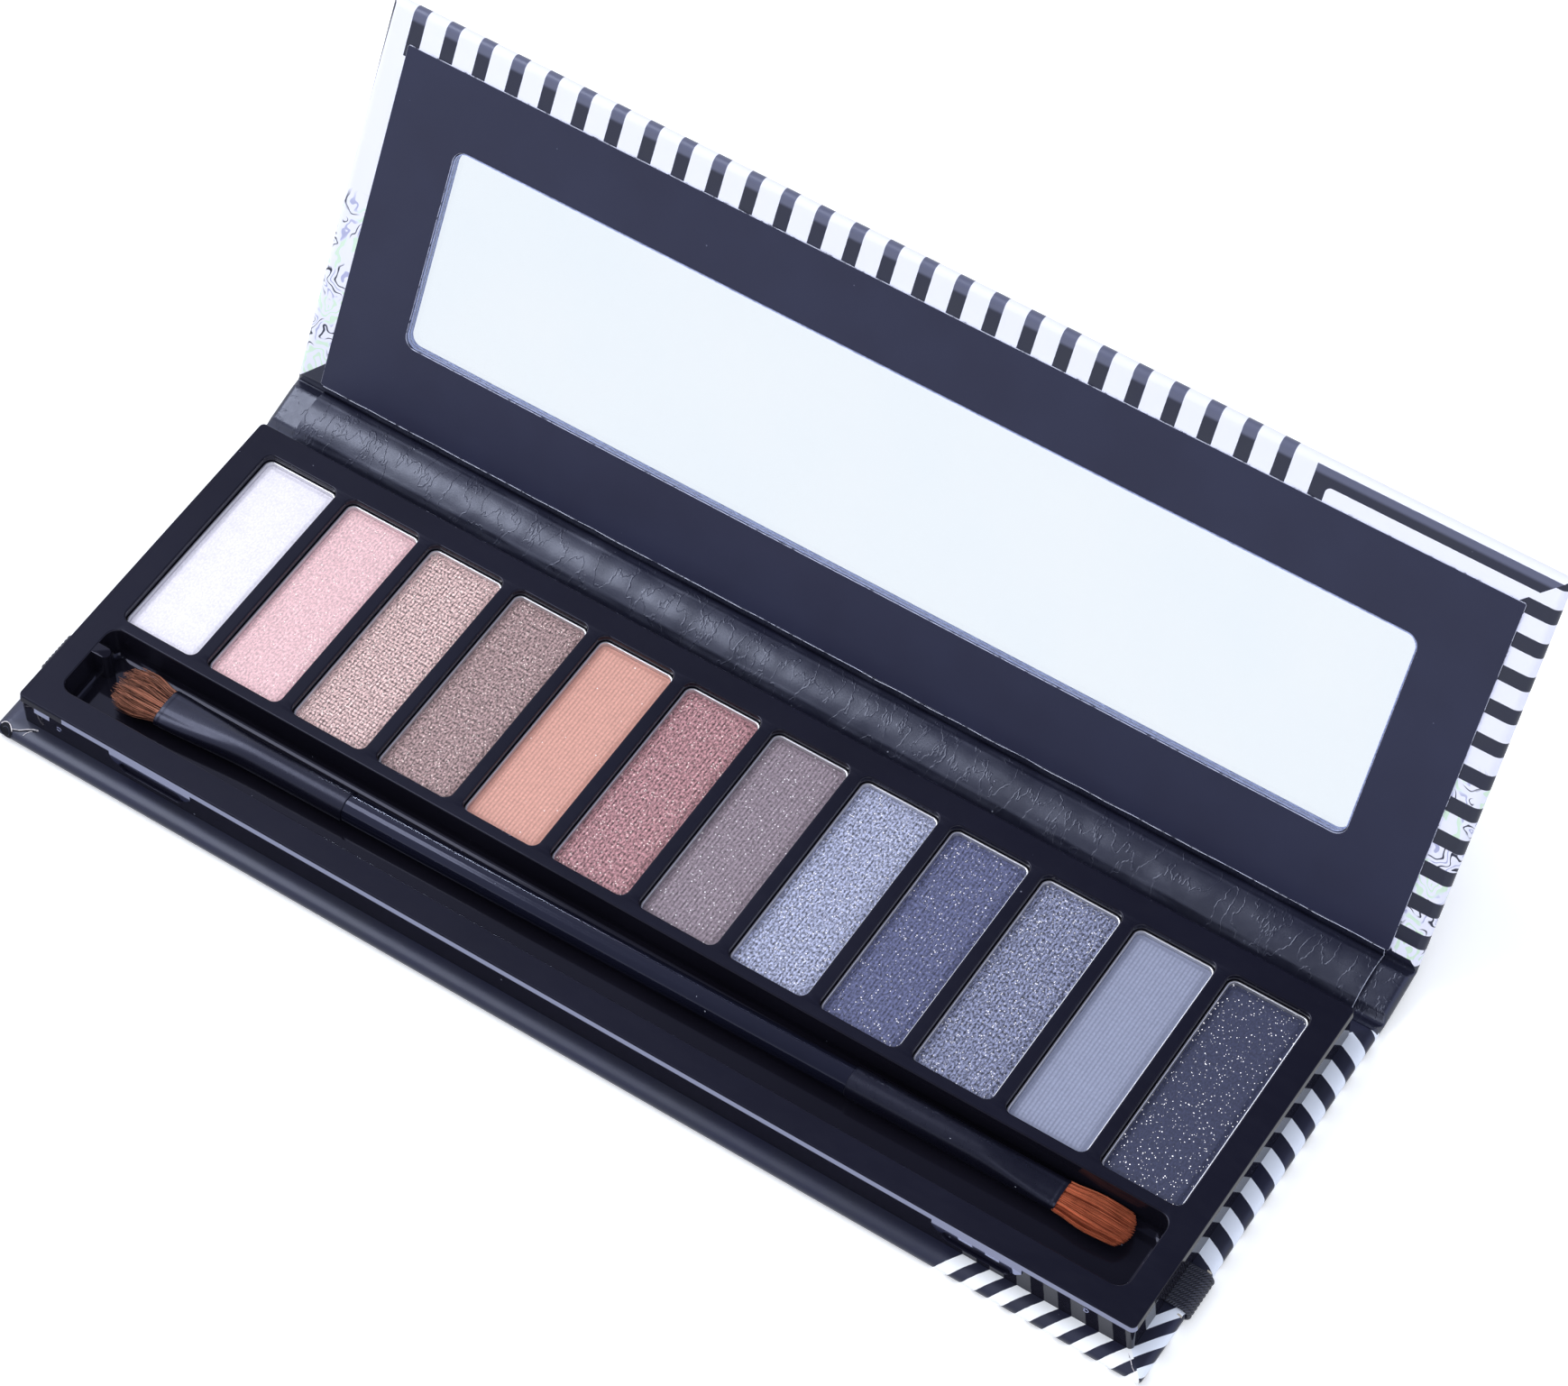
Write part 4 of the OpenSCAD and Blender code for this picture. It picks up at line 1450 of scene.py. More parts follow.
@dataclass(frozen=True)
class HingeLiner:
    """The paper strip glued inside a hinge."""

    name: str
    hinge: Hinge
    finish: Finish
    cut: Finish
    start: float
    end: float
    seam: float
    nodes: tuple[str, ...] = ()
    half_width: float = 92.8
    thick: float = 0.12
    ragged: float = 0.12
    crown: float = 1.62
    crown_reach: float = 4.625
    cut_r: float = 0.07

    def base(self, q: float) -> float:
        """Height of the strip's underside: close to the boards, but crowned over the spine."""
        near = self.hinge.profile(q)
        if q * self.seam > 0:
            return near
        rise = sin(pi / 2 * min(abs(q) / self.crown_reach, 1.0)) ** 0.8
        return max(near, self.hinge.valley + (self.crown - self.hinge.valley) * rise)

    def lift(self, x: float, q: float) -> float:
        """How far the strip stands off the boards, with the waves that glue leaves."""
        s = q + self.seam
        wave = 0.10 * wander(x, s, 9.0, 2.0) + 0.07 * wander(x, s, 3.2, 5.0)
        fold = 0.10 * wander(x * 0.25, s, 1.4, 8.0) * smooth(abs(q), 2.6, 1.0)
        return self.thick + 0.05 + max(0.0, 0.10 + wave + fold)

    def build(self) -> Piece:
        """Builds the strip, bent as at rest, and bakes it in place through its hinge."""
        skin = Skin()
        rows, sheet = [], []
        for x in spread(-self.half_width, self.half_width, 156):
            near = self.start + (self.ragged * wander(x, 0.0, 5.0, 3.0) if self.seam < 0 else 0.0)
            far = self.end + (self.ragged * wander(x, 0.0, 5.0, 6.0) if self.seam > 0 else 0.0)
            qs = spread(near, far, 34)
            rows.append([self.hinge.place(x, q, self.base(q) + self.lift(x, q)) for q in qs])
            sheet.append([(x, q + self.seam) for q in qs])
        skin.slab(rows, sheet, self.thick, 0, 1)
        for row in (rows[0], rows[-1]):
            skin.tube([(x, y, z - self.cut_r) for x, y, z in row], self.cut_r, 1)
        piece = skin.make(self.name, self.hinge.frame, (self.finish, self.cut), weighted=False)
        return self.hinge.bind(piece, "hinge_liner", *self.nodes)


@dataclass(frozen=True)
class HingeSleeve:
    """The outer paper of a hinge, turned in round both ends of the case."""

    name: str
    hinge: Hinge
    finish: Finish
    half_width: float = 98.0
    flap: float = 8.0
    thick: float = 0.14

    def path(self, radius: float) -> list[Flat]:
        """(x, n) points from one turned-in flap, round the outside, to the other."""
        r = radius
        centre = self.half_width - r
        turns = spread(0, pi, 9)
        right = [(centre + r * sin(t), r * cos(t)) for t in turns]
        run = [(x, -r) for x in spread(centre - 1, -centre + 1, 60)]
        return [(centre - self.flap, r), *right, *run, *[(-x, n) for x, n in reversed(right)], (-centre + self.flap, r)]

    def build(self) -> Piece:
        """Builds the sleeve, bent as at rest, and bakes it in place through its hinge."""
        outer, sheet = [], []
        reach = self.hinge.shoulder
        for q in spread(-reach, reach, 19):
            base = self.hinge.profile(q)
            path = self.path(base)
            place = [self.hinge.place(x, q, n - 0.02 * wander(x, q, 4.0) if n < 0 else n) for x, n in path]
            outer.append(place)
            sheet.append([(x + (3.0 if n > 0 else 0.0), q) for x, n in path])
        skin = Skin()
        skin.slab(outer, sheet, self.thick, 0, 0)
        piece = skin.make(self.name, self.hinge.frame, (self.finish,), weighted=False)
        return self.hinge.bind(piece, "spine_print")


@dataclass(frozen=True)
class LidLiner:
    """Card glued inside the lid, with a window for the mirror."""

    finish: Finish
    cut: Finish
    outline: Outline = Outline(-93.4, 93.4, 1.8, 59.8, 0.35)
    window: Outline = MIRROR_WINDOW
    low: float = 1.2
    high: float = 1.45

    def build(self) -> Piece:
        """Builds the card with its cut edges."""
        skin = Skin()
        outer = skin.sweep(self.outline, [(0.0, self.low), (0.0, self.high - 0.02), (-0.03, self.high)], finish=1)
        hole = skin.sweep(self.window, [(0.0, self.low), (0.0, self.high - 0.02), (0.03, self.high)], finish=1)
        skin.fill(outer[-1], hole[-1], finish=0)
        skin.fill(outer[0], hole[0], finish=1)
        piece = skin.make("lid_liner_card", LID, (self.finish, self.cut))
        return settle(piece, "lid", "lid_liner", "lid_liner")


@dataclass(frozen=True)
class Mirror:
    """A glass mirror: the pane with ground edges, and its silvered back."""

    outline: Outline = Outline(-81.3, 81.3, 14.7, 47.8, 2.0)
    low: float = 0.06
    high: float = 1.35
    bevel: float = 0.1

    def pane(self) -> Piece:
        """Builds the glass."""
        skin = Skin()
        steps = [(0.0, self.low), (0.0, self.high - self.bevel), (-self.bevel, self.high)]
        loops = skin.sweep(self.outline, steps, finish=1)
        skin.fill(loops[0], finish=0)
        skin.fill(loops[-1], finish=0)
        piece = skin.make(
            "mirror_pane", LID, (MirrorGlass("mirror_pane_glass"), GroundGlass("mirror_ground_edge")), sharp=20
        )
        return settle(piece, "lid", "mirror", "mirror_glass")

    def back(self) -> Piece:
        """Builds the silvering."""
        skin = Skin()
        loops = skin.sweep(self.outline, [(-0.05, 0.0), (-0.05, self.low - 0.02)])
        skin.fill(loops[0])
        skin.fill(loops[1])
        piece = skin.make("mirror_silvering", LID, (Silvering("mirror_silver"),), sharp=20)
        return settle(piece, "lid", "mirror")


# ---- Tray, pans and powder ----


@dataclass(frozen=True)
class Wells:
    """Where the twelve wells stand."""

    first: float = -90.585
    pitch: float = 15.27
    width: float = 13.2
    near: float = 19.4
    far: float = 55.8
    r: float = 1.4
    count: int = 12

    def outline(self, k: int) -> Outline:
        """The outline of well k, from 0."""
        x = self.first + self.pitch * k
        return Outline(x, x + self.width, self.near, self.far, self.r)


class Coat(IntEnum):
    """Numbers of the tray's finishes."""

    SATIN = 0
    GLOSS = 1
    MIRROR = 2


@dataclass(frozen=True)
class Pad:
    """A flat pad that stands proud of the tray's front wall.

    Attributes:
        span: Where it starts and ends along the wall.
        low: Its lower edge.
        high: Its upper edge.
        y: The wall's place.
        proud: How far its upper edge stands out.
        lean: How far it leans out, by its height.
        coat: Its finish.
    """

    span: Flat
    low: float
    high: float
    y: float
    proud: float
    lean: float
    coat: Coat

    def build(self, skin: Skin) -> None:
        """Adds the pad."""
        left, right = self.span
        ring = [(left, self.low), (right, self.low), (right, self.high), (left, self.high)]
        foot = skin.add([(x, self.y, z) for x, z in ring])
        face = skin.add([(x, self.y - self.proud - self.lean * (self.high - z), z) for x, z in ring])
        middle = Vector((sum(self.span) / 2, self.y, (self.low + self.high) / 2))
        skin.aim = lambda place: place - middle
        skin.band(foot, face, self.coat)
        skin.face(face, self.coat)


@dataclass(frozen=True)
class Tray:
    """The black moulded tray: top plate, skirt with snap windows, brush trough and wells."""

    satin: Finish
    gloss: Finish
    mirror: Finish
    outline: Outline = Outline(-95.0, 95.0, 0.0, 60.2, 0.9)
    wells: Wells = Wells()
    trough: Outline = Outline(-90.6, 90.6, 4.5, 17.5, 2.0)
    low: float = 2.4
    plate_low: float = 7.6
    top: float = 8.8
    round_r: float = 0.22
    plate_lean: float = 0.12
    skirt_inset: float = 0.25
    trough_floor: float = 3.4
    draft: float = 0.25
    foot_r: float = 1.2
    slots: tuple[Flat, Flat] = ((-76.5, -65.3), (64.6, 75.5))
    slot_low: float = 4.2
    slot_height: float = 2.05
    slot_depth: float = 0.44
    slot_rim: float = 0.14
    lip: float = 1.8
    lip_low: float = 5.5
    lip_lean: float = 0.03
    nub: Point = (-87.9, 13.05, 0.95)
    notch: Flat = (BAND_NEAR, BAND_FAR)
    notch_floor: float = 3.15
    thick: float = 1.1

    def plate(self, skin: Skin) -> None:
        """Adds the top plate with its holes, and the walls below them."""
        edge = [(out, self.top + drop) for out, drop in round_over(self.round_r)]
        outer = [(out - self.plate_lean, height) for out, height in edge]
        skin.aim = away(self.outline, lift=0.5)
        rim = skin.sweep(self.outline, outer)
        skin.aim = away(self.outline, lift=-0.5)
        skin.sweep(
            self.outline, [outer[-1], (0.0, self.plate_low), (-self.skirt_inset, self.plate_low)], finish=Coat.MIRROR
        )
        loops = [rim[0]]
        for k in range(self.wells.count):
            steps = [(-out, height) for out, height in edge]
            skin.aim = away(self.wells.outline(k), lift=0.5, sign=-1)
            wall = skin.sweep(
                self.wells.outline(k), [*steps, (0.0, self.plate_low), (0.0, self.trough_floor)], finish=Coat.GLOSS
            )
            loops.append(wall[0])
        loops.append(self.dig(skin, edge))
        skin.aim = toward(0, 0, 1)
        skin.fill(*loops)

    def dig(self, skin: Skin, edge: Sequence[Flat]) -> list[int]:
        """Adds the brush trough, and gives back its upper loop."""
        foot = self.trough_floor
        turns = spread(0, pi / 2, 7)
        cove = [(-self.draft - self.foot_r * (1 - cos(t)), foot + self.foot_r * (1 - sin(t))) for t in turns]
        steps = [(-out, height) for out, height in edge]
        skin.aim = away(self.trough, lift=0.5, sign=-1)
        loops = skin.sweep(self.trough, [*steps, *cove], finish=Coat.GLOSS)
        skin.fill(loops[-1], finish=Coat.GLOSS)
        return loops[0]

    def post(self, skin: Skin) -> None:
        """Adds the small rib at the trough's left end."""
        tip, y, r = self.nub
        start = self.trough.x0 - 0.3
        skin.aim = away(Outline(start - r, tip, y - r, y + r, r), inner=r - 0.02, lift=0.2)
        for_height = [
            (-0.12, self.top - 0.1), (-0.03, self.top - 0.14), (0.0, self.top - 0.22), (0.06, self.trough_floor - 0.1)
        ]
        turns = [radians(a) for a in spread(-90, 90, 13)]
        loops = []
        for grow, height in for_height:
            tip_arc = [(*p, height) for p in arc(tip - r, y, r + grow, turns)]
            loops.append(skin.add([(start, y - r - grow, height), *tip_arc, (start, y + r + grow, height)]))
        skin.stack(loops, Coat.GLOSS)
        skin.fill(loops[0], finish=Coat.GLOSS)

    def slot_ring(self, span: Flat, y: float, grow: float = 0.0) -> list[Point]:
        """Points round a snap window, in a plane across Y."""
        r = self.slot_height / 2
        z = self.slot_low + r
        ring = Outline(span[0] - grow, span[1] + grow, z - r - grow, z + r + grow, r + grow)
        return [(x, y, h) for x, h in ring.points(0.0, 6)]

    def lip_ring(self, span: Flat, y: float, grow: float = 0.0) -> list[Point]:
        """Points round a thickened lip and the rim under its snap window, in a plane across Y."""
        x0, x1 = span[0] - self.lip - grow, span[1] + self.lip + grow
        low, cut, half = self.lip_low - grow, 0.9, self.slot_height / 2
        r, z = half + self.slot_rim + grow, self.slot_low + half
        turn = asin((low - z) / r)
        ring = [(x1, self.plate_low), (x0, self.plate_low), (x0, low + cut), (x0 + cut, low)]
        ring += arc(span[0] + half, z, r, spread(pi - turn, pi * 1.5, 8))
        ring += arc(span[1] - half, z, r, spread(-pi / 2, turn, 8))
        return [(x, y, h) for x, h in [*ring, (x1 - cut, low), (x1, low + cut)]]

    def leaned(self, ring: Sequence[Point], inward: float) -> list[Point]:
        """A ring that leans out more the lower it is, as the lips do."""
        return [(x, y - inward * self.lip_lean * (self.plate_low - z), z) for x, y, z in ring]

    def panel(self, start: float, end: float, y: float) -> list[Point]:
        """Corners of a flat stretch of the skirt."""
        return [(start, y, self.low), (end, y, self.low), (end, y, self.plate_low), (start, y, self.plate_low)]

    def wall(self, skin: Skin, y: float, inward: float) -> None:
        """Adds the skirt's front or back wall with its lips and snap windows.

        Args:
            skin: The piece being made.
            y: The wall's place, proud of the skirt.
            inward: 1 where the tray's inside is at greater Y, and -1 where it is at lesser Y.
        """
        flat_y = y + inward * self.skirt_inset
        x0, x1 = self.outline.x0 + self.skirt_inset, self.outline.x1 - self.skirt_inset
        r = self.outline.r - self.skirt_inset
        ahead = toward(0, -inward, 0)
        level = self.slot_low + self.slot_height / 2
        margin = self.lip / 2
        for span in self.slots:
            foot = skin.add(self.lip_ring(span, flat_y))
            face = skin.add(self.leaned(self.lip_ring(span, y, -0.06), inward))
            middle = Vector((sum(span) / 2, 0.0, self.plate_low))
            skin.aim = lambda place, middle=middle: Vector((place.x - middle.x, 0.0, place.z - middle.z))
            skin.band(foot, face, Coat.MIRROR)
            rings = [skin.add(self.leaned(self.slot_ring(span, y, 0.08), inward))]
            rings += [skin.add(self.slot_ring(span, y + inward * depth)) for depth in (0.08, self.slot_depth)]
            ends = (span[0] + self.slot_height / 2, span[1] - self.slot_height / 2)
            skin.aim = lambda place, ends=ends: Vector(
                (min(max(place.x, ends[0]), ends[1]) - place.x, 0.0, level - place.z)
            )
            skin.stack(rings)
            skin.aim = ahead
            skin.fill(face, rings[0], finish=Coat.MIRROR, axes=(0, 2))
            skin.fill(rings[2], axes=(0, 2))
            panel = skin.add(self.panel(span[0] - margin, span[1] + margin, flat_y))
            skin.fill(panel, skin.add(self.slot_ring(span, flat_y)), finish=Coat.GLOSS, axes=(0, 2))
        skin.aim = ahead
        xs = [x0 + r, *[x for span in self.slots for x in (span[0] - margin, span[1] + margin)], x1 - r]
        for start, end in zip(xs[::2], xs[1::2]):
            skin.face(skin.add(self.panel(start, end, flat_y)), Coat.GLOSS)
        self.marks(skin, flat_y, inward)

    def pads(self) -> tuple[Pad, Pad]:
        """The pads at the front wall's left end: below the plate, and on the plate's edge."""
        wall, plate = self.outline.y0 + self.skirt_inset, self.outline.y0 + self.plate_lean
        return (
            Pad((-92.1, -89.3), 6.4, 7.5, wall, 0.1, 0.15, Coat.MIRROR),
            Pad((-94.4, -86.9), self.plate_low, self.top - self.round_r, plate, 0.03, 0.12, Coat.SATIN),
        )

    def marks(self, skin: Skin, y: float, inward: float) -> None:
        """Adds the small round ejector marks near the wall's ends."""
        for x, z in ((-87.9, self.top - 3.7), (87.3, self.top - 2.6)):
            rings = []
            for r, proud in ((0.52, -0.02), (0.46, 0.06), (0.36, 0.05), (0.3, 0.01)):
                rings.append(skin.add([(px, y - inward * proud, pz) for px, pz in arc(x, z, r, circle(16))]))
            skin.stack(rings, Coat.MIRROR)
            skin.fill(rings[-1], finish=Coat.MIRROR, axes=(0, 2))

    def ends(self, skin: Skin) -> None:
        """Adds the skirt's ends, with round corners, open where the elastic passes."""
        r = self.outline.r - self.skirt_inset
        y0, y1 = self.outline.y0 + self.skirt_inset, self.outline.y1 - self.skirt_inset
        skin.aim = away(self.outline)
        for side in (-1, 1):
            x = side * (self.outline.x1 - self.skirt_inset)
            turns = [radians(a) for a in spread(-90, 0, 7)]
            front = [(x - side * r + side * r * cos(t), y0 + r + r * sin(t)) for t in turns]
            back = [(px, y0 + y1 - py) for px, py in reversed(front)]
            near, far = self.notch
            mouth = [(x, near, self.low), (x, near, self.notch_floor), (x, far, self.notch_floor), (x, far, self.low)]
            low = [(*p, self.low) for p in front] + mouth + [(*p, self.low) for p in back]
            high = [(p[0], p[1], self.plate_low) for p in low]
            first = skin.add(low, [(p[1], p[2]) for p in low])
            second = skin.add(high, [(p[1], p[2]) for p in high])
            skin.band(first, second, Coat.GLOSS, closed=False)
            inner = [(x - side * self.thick, y, z) for _, y, z in mouth]
            skin.band(skin.add(mouth), skin.add(inner), Coat.GLOSS, closed=False)

    def dull(self, skin: Skin) -> None:
        """Gives every wall behind the front one the plainer gloss."""
        front = self.outline.y0 + self.outline.r - 0.05
        for k, corners in enumerate(skin.faces):
            if skin.finish[k] == Coat.MIRROR and min(skin.points[c][1] for c in corners) > front:
                skin.finish[k] = Coat.GLOSS

    def build(self) -> Piece:
        """Builds and dresses the tray."""
        skin = Skin()
        self.plate(skin)
        self.post(skin)
        self.wall(skin, self.outline.y0, 1.0)
        for pad in self.pads():
            pad.build(skin)
        self.wall(skin, self.outline.y1, -1.0)
        self.ends(skin)
        self.dull(skin)
        piece = skin.make("tray_moulding", TABLE, (self.satin, self.gloss, self.mirror), sharp=32)
        return settle(piece, "base", "tray_plastic", "tray_top")


@dataclass(frozen=True)
class Pan:
    """One tin pan and the powder pressed into it."""

    number: int
    powder: PressedPowder
    tin: Finish
    wells: Wells = Wells()
    low: float = 3.7
    rim: float = 7.6
    level: float = 7.2
    gap: float = 0.1
    wall: float = 0.32

    def outline(self) -> Outline:
        """The pan's outline."""
        well = self.wells.outline(self.number - 1)
        g = self.gap
        return Outline(well.x0 + g, well.x1 - g, well.y0 + g, well.y1 - g, well.r - g)

    def metal(self) -> Piece:
        """Builds the tin."""
        skin = Skin()
        top, w = self.rim, self.wall
        steps = [(0.0, self.low), (0.0, top - 0.12), (-0.04, top - 0.03), (-0.13, top), (-0.2, top - 0.01)]
        steps += [(-w + 0.03, top - 0.06), (-w, top - 0.16), (-w - 0.03, self.level - 0.6)]
        loops = skin.sweep(self.outline(), steps)
        skin.fill(loops[0])
        piece = skin.make(f"pan_{self.number:02d}_tin", TABLE, (self.tin,))
        return settle(piece, "base", "pan_tin", f"pan_{self.number:02d}")

    def cake(self) -> Piece:
        """Builds the powder: a border, a soft ramp and the pressed face."""
        skin = Skin()
        w, top = self.wall, self.level
        steps = [(-w, top - 0.6), (-w - 0.02, top - 0.36), (-w - 0.1, top - 0.31), (-w - 0.26, top - 0.29)]
        steps += [
            (-w - 0.45, top - 0.23), (-w - 0.7, top - 0.09), (-w - 0.9, top - 0.02), (-w - 1.05, top), (-w - 1.6, top)
        ]
        press = [0.0, 0.0, 0.0, 0.0, 0.1, 0.4, 0.8, 1.0, 1.0]
        loops = skin.sweep(self.outline(), steps, press=press)
        skin.fill(loops[-1])
        piece = skin.make(f"shadow_{self.number:02d}_cake", TABLE, (self.powder,), sharp=60)
        return settle(piece, "base", f"shadow_{self.number:02d}", f"shadow_{self.number:02d}")


# ---- Elastic and brush ----


@dataclass(frozen=True)
class ElasticBand:
    """Ribbed elastic that runs under the case and dives below the tray at both ends."""

    y: float = 12.5
    half_width: float = 3.45
    half_thick: float = 0.15
    rib: float = 0.22
    ribs: int = 9
    tip: float = 97.175
    turn: float = 1.175
    high: float = 2.75
    low: float = 0.4
    pocket: float = 2.05

    def path(self) -> list[Flat]:
        """(x, z) points of the centre line, from the left pocket to the right one."""
        right = [
            (80.0, self.pocket), (86.0, self.pocket), (91.0, self.pocket), (92.3, self.pocket + 0.03),
            (93.0, self.pocket + 0.22),
        ]
        right += [(93.7, self.high - 0.12), (94.4, self.high - 0.01), (95.2, self.high), (96.2, self.high)]
        centre = (self.high + self.low) / 2
        right += [
            (self.tip + self.turn * sin(t), centre + self.turn * cos(t)) for t in spread(0, pi, 15)
        ]
        right += [(x, self.low) for x in (96.0, 90.0, 70.0, 45.0, 20.0)]
        return [(-x, z) for x, z in right] + [(0.0, self.low)] + [(x, z) for x, z in reversed(right)]

    def section(self) -> list[Flat]:
        """(across, out) points round the band's ribbed section."""
        count = self.ribs * 8
        top = []
        for k in range(count + 1):
            t = k / count
            across = self.half_width * (2 * t - 1)
            crest = abs(sin(pi * self.ribs * t))
            edge = smooth(min(t, 1 - t), 0.0, 0.03)
            top.append((across, (self.half_thick + self.rib * crest) * (0.35 + 0.65 * edge)))
        return top + [(a, -o) for a, o in reversed(top)]

    def build(self) -> Piece:
        """Builds the band along its path."""
        path = self.path()
        section = self.section()
        rows, sheet = [], []
        length = 0.0
        for k, (x, z) in enumerate(path):
            before, after = path[max(k - 1, 0)], path[min(k + 1, len(path) - 1)]
            along = Vector((after[0] - before[0], 0.0, after[1] - before[1])).normalized()
            out = Vector((along.z, 0.0, -along.x))
            length += dist(path[k - 1], (x, z)) if k else 0.0
            rows.append([(x + out.x * o, self.y + a, z + out.z * o) for a, o in section])
            sheet.append([(length, a) for a, _ in section])
        skin = Skin()
        loops = skin.grid(rows, sheet, closed=True)
        for loop in (loops[0], loops[-1]):
            half = len(loop) // 2
            for k in range(half - 1):
                skin.face((loop[k], loop[k + 1], loop[-k - 2], loop[-k - 1]))
        piece = skin.make("elastic_band_knit", TABLE, (RibbedElastic("elastic_knit"),), sharp=70, weighted=False)
        return settle(piece, "base", "elastic", "elastic_band")


@dataclass(frozen=True)
class Tuft:
    """A tuft of hair at one end of the brush."""

    name: str
    node: str
    slot: str
    finish: Finish
    side: int
    start: float
    length: float
    root: Flat
    full: Flat
    full_at: float
    tip: Flat
    hairs: int
    dome: float
    stray: float
    thick: Flat
    short: float

    def half(self, t: float) -> Flat:
        """Half width and half thickness at t along the tuft."""
        if t < self.full_at:
            k = smooth(t, 0.0, self.full_at)
            first, second = self.root, self.full
        else:
            k = ((t - self.full_at) / (1 - self.full_at)) ** 1.6
            first, second = self.full, self.tip
        return tuple((first[j] + (second[j] - first[j]) * k) / 2 for j in range(2))

    def core(self, skin: Skin) -> None:
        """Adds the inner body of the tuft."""
        rows = []
        for t in spread(0.0, 0.9, 12):
            close = 0.7 * (1 - smooth(t, 0.6, 0.9) * 0.6)
            half = self.half(t)
            ring = [(close * half[0] * cos(a), close * half[1] * sin(a)) for a in circle(32)]
            rows.append([self.place(t, y, z, self.dome * 1.15) for y, z in ring])
        sheet = [[(p[0], p[1]) for p in row] for row in rows]
        loops = skin.grid(rows, sheet, closed=True)
        skin.fill(loops[-1], axes=(1, 2))
        skin.fill(loops[0], axes=(1, 2))

    def place(self, t: float, y: float, z: float, dome: float) -> Point:
        """A point at t along the tuft, where the outer hairs end sooner than the middle ones."""
        full = self.full
        radius = min(1.0, hypot(2 * y / full[0], 2 * z / full[1]))
        reach = self.length * (1 - dome * radius**2)
        return (self.side * (self.start + t * reach), y, z)

    def build(self) -> Piece:
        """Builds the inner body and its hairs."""
        rng = random.Random(SEED + self.side)
        skin = Skin()
        self.core(skin)
        for _ in range(self.hairs):
            angle, r = rng.uniform(0, tau), sqrt(rng.uniform(0.35, 1.0))
            drift = (rng.gauss(0, self.stray), rng.gauss(0, self.stray))
            tone, wide = rng.random(), rng.uniform(*self.thick)
            short = rng.uniform(self.short, 1.0)
            rings = []
            for t in spread(0.0, 1.0, 8):
                half = self.half(t)
                y = r * half[0] * cos(angle) + drift[0] * t * t
                z = r * half[1] * sin(angle) + drift[1] * t * t
                x, y, z = self.place(t * short, y, z, self.dome)
                turns = (0.0, tau / 3, 2 * tau / 3)
                rings.append(skin.add([(x, *p) for p in arc(y, z, wide * (1 - 0.7 * t), turns)], press=tone))
            skin.stack(rings)
            skin.face(rings[-1])
            skin.face(rings[0])
        piece = skin.make(self.name, BRUSH, (self.finish,), sharp=80, weighted=False)
        return settle(piece, "brush", self.slot, self.node)


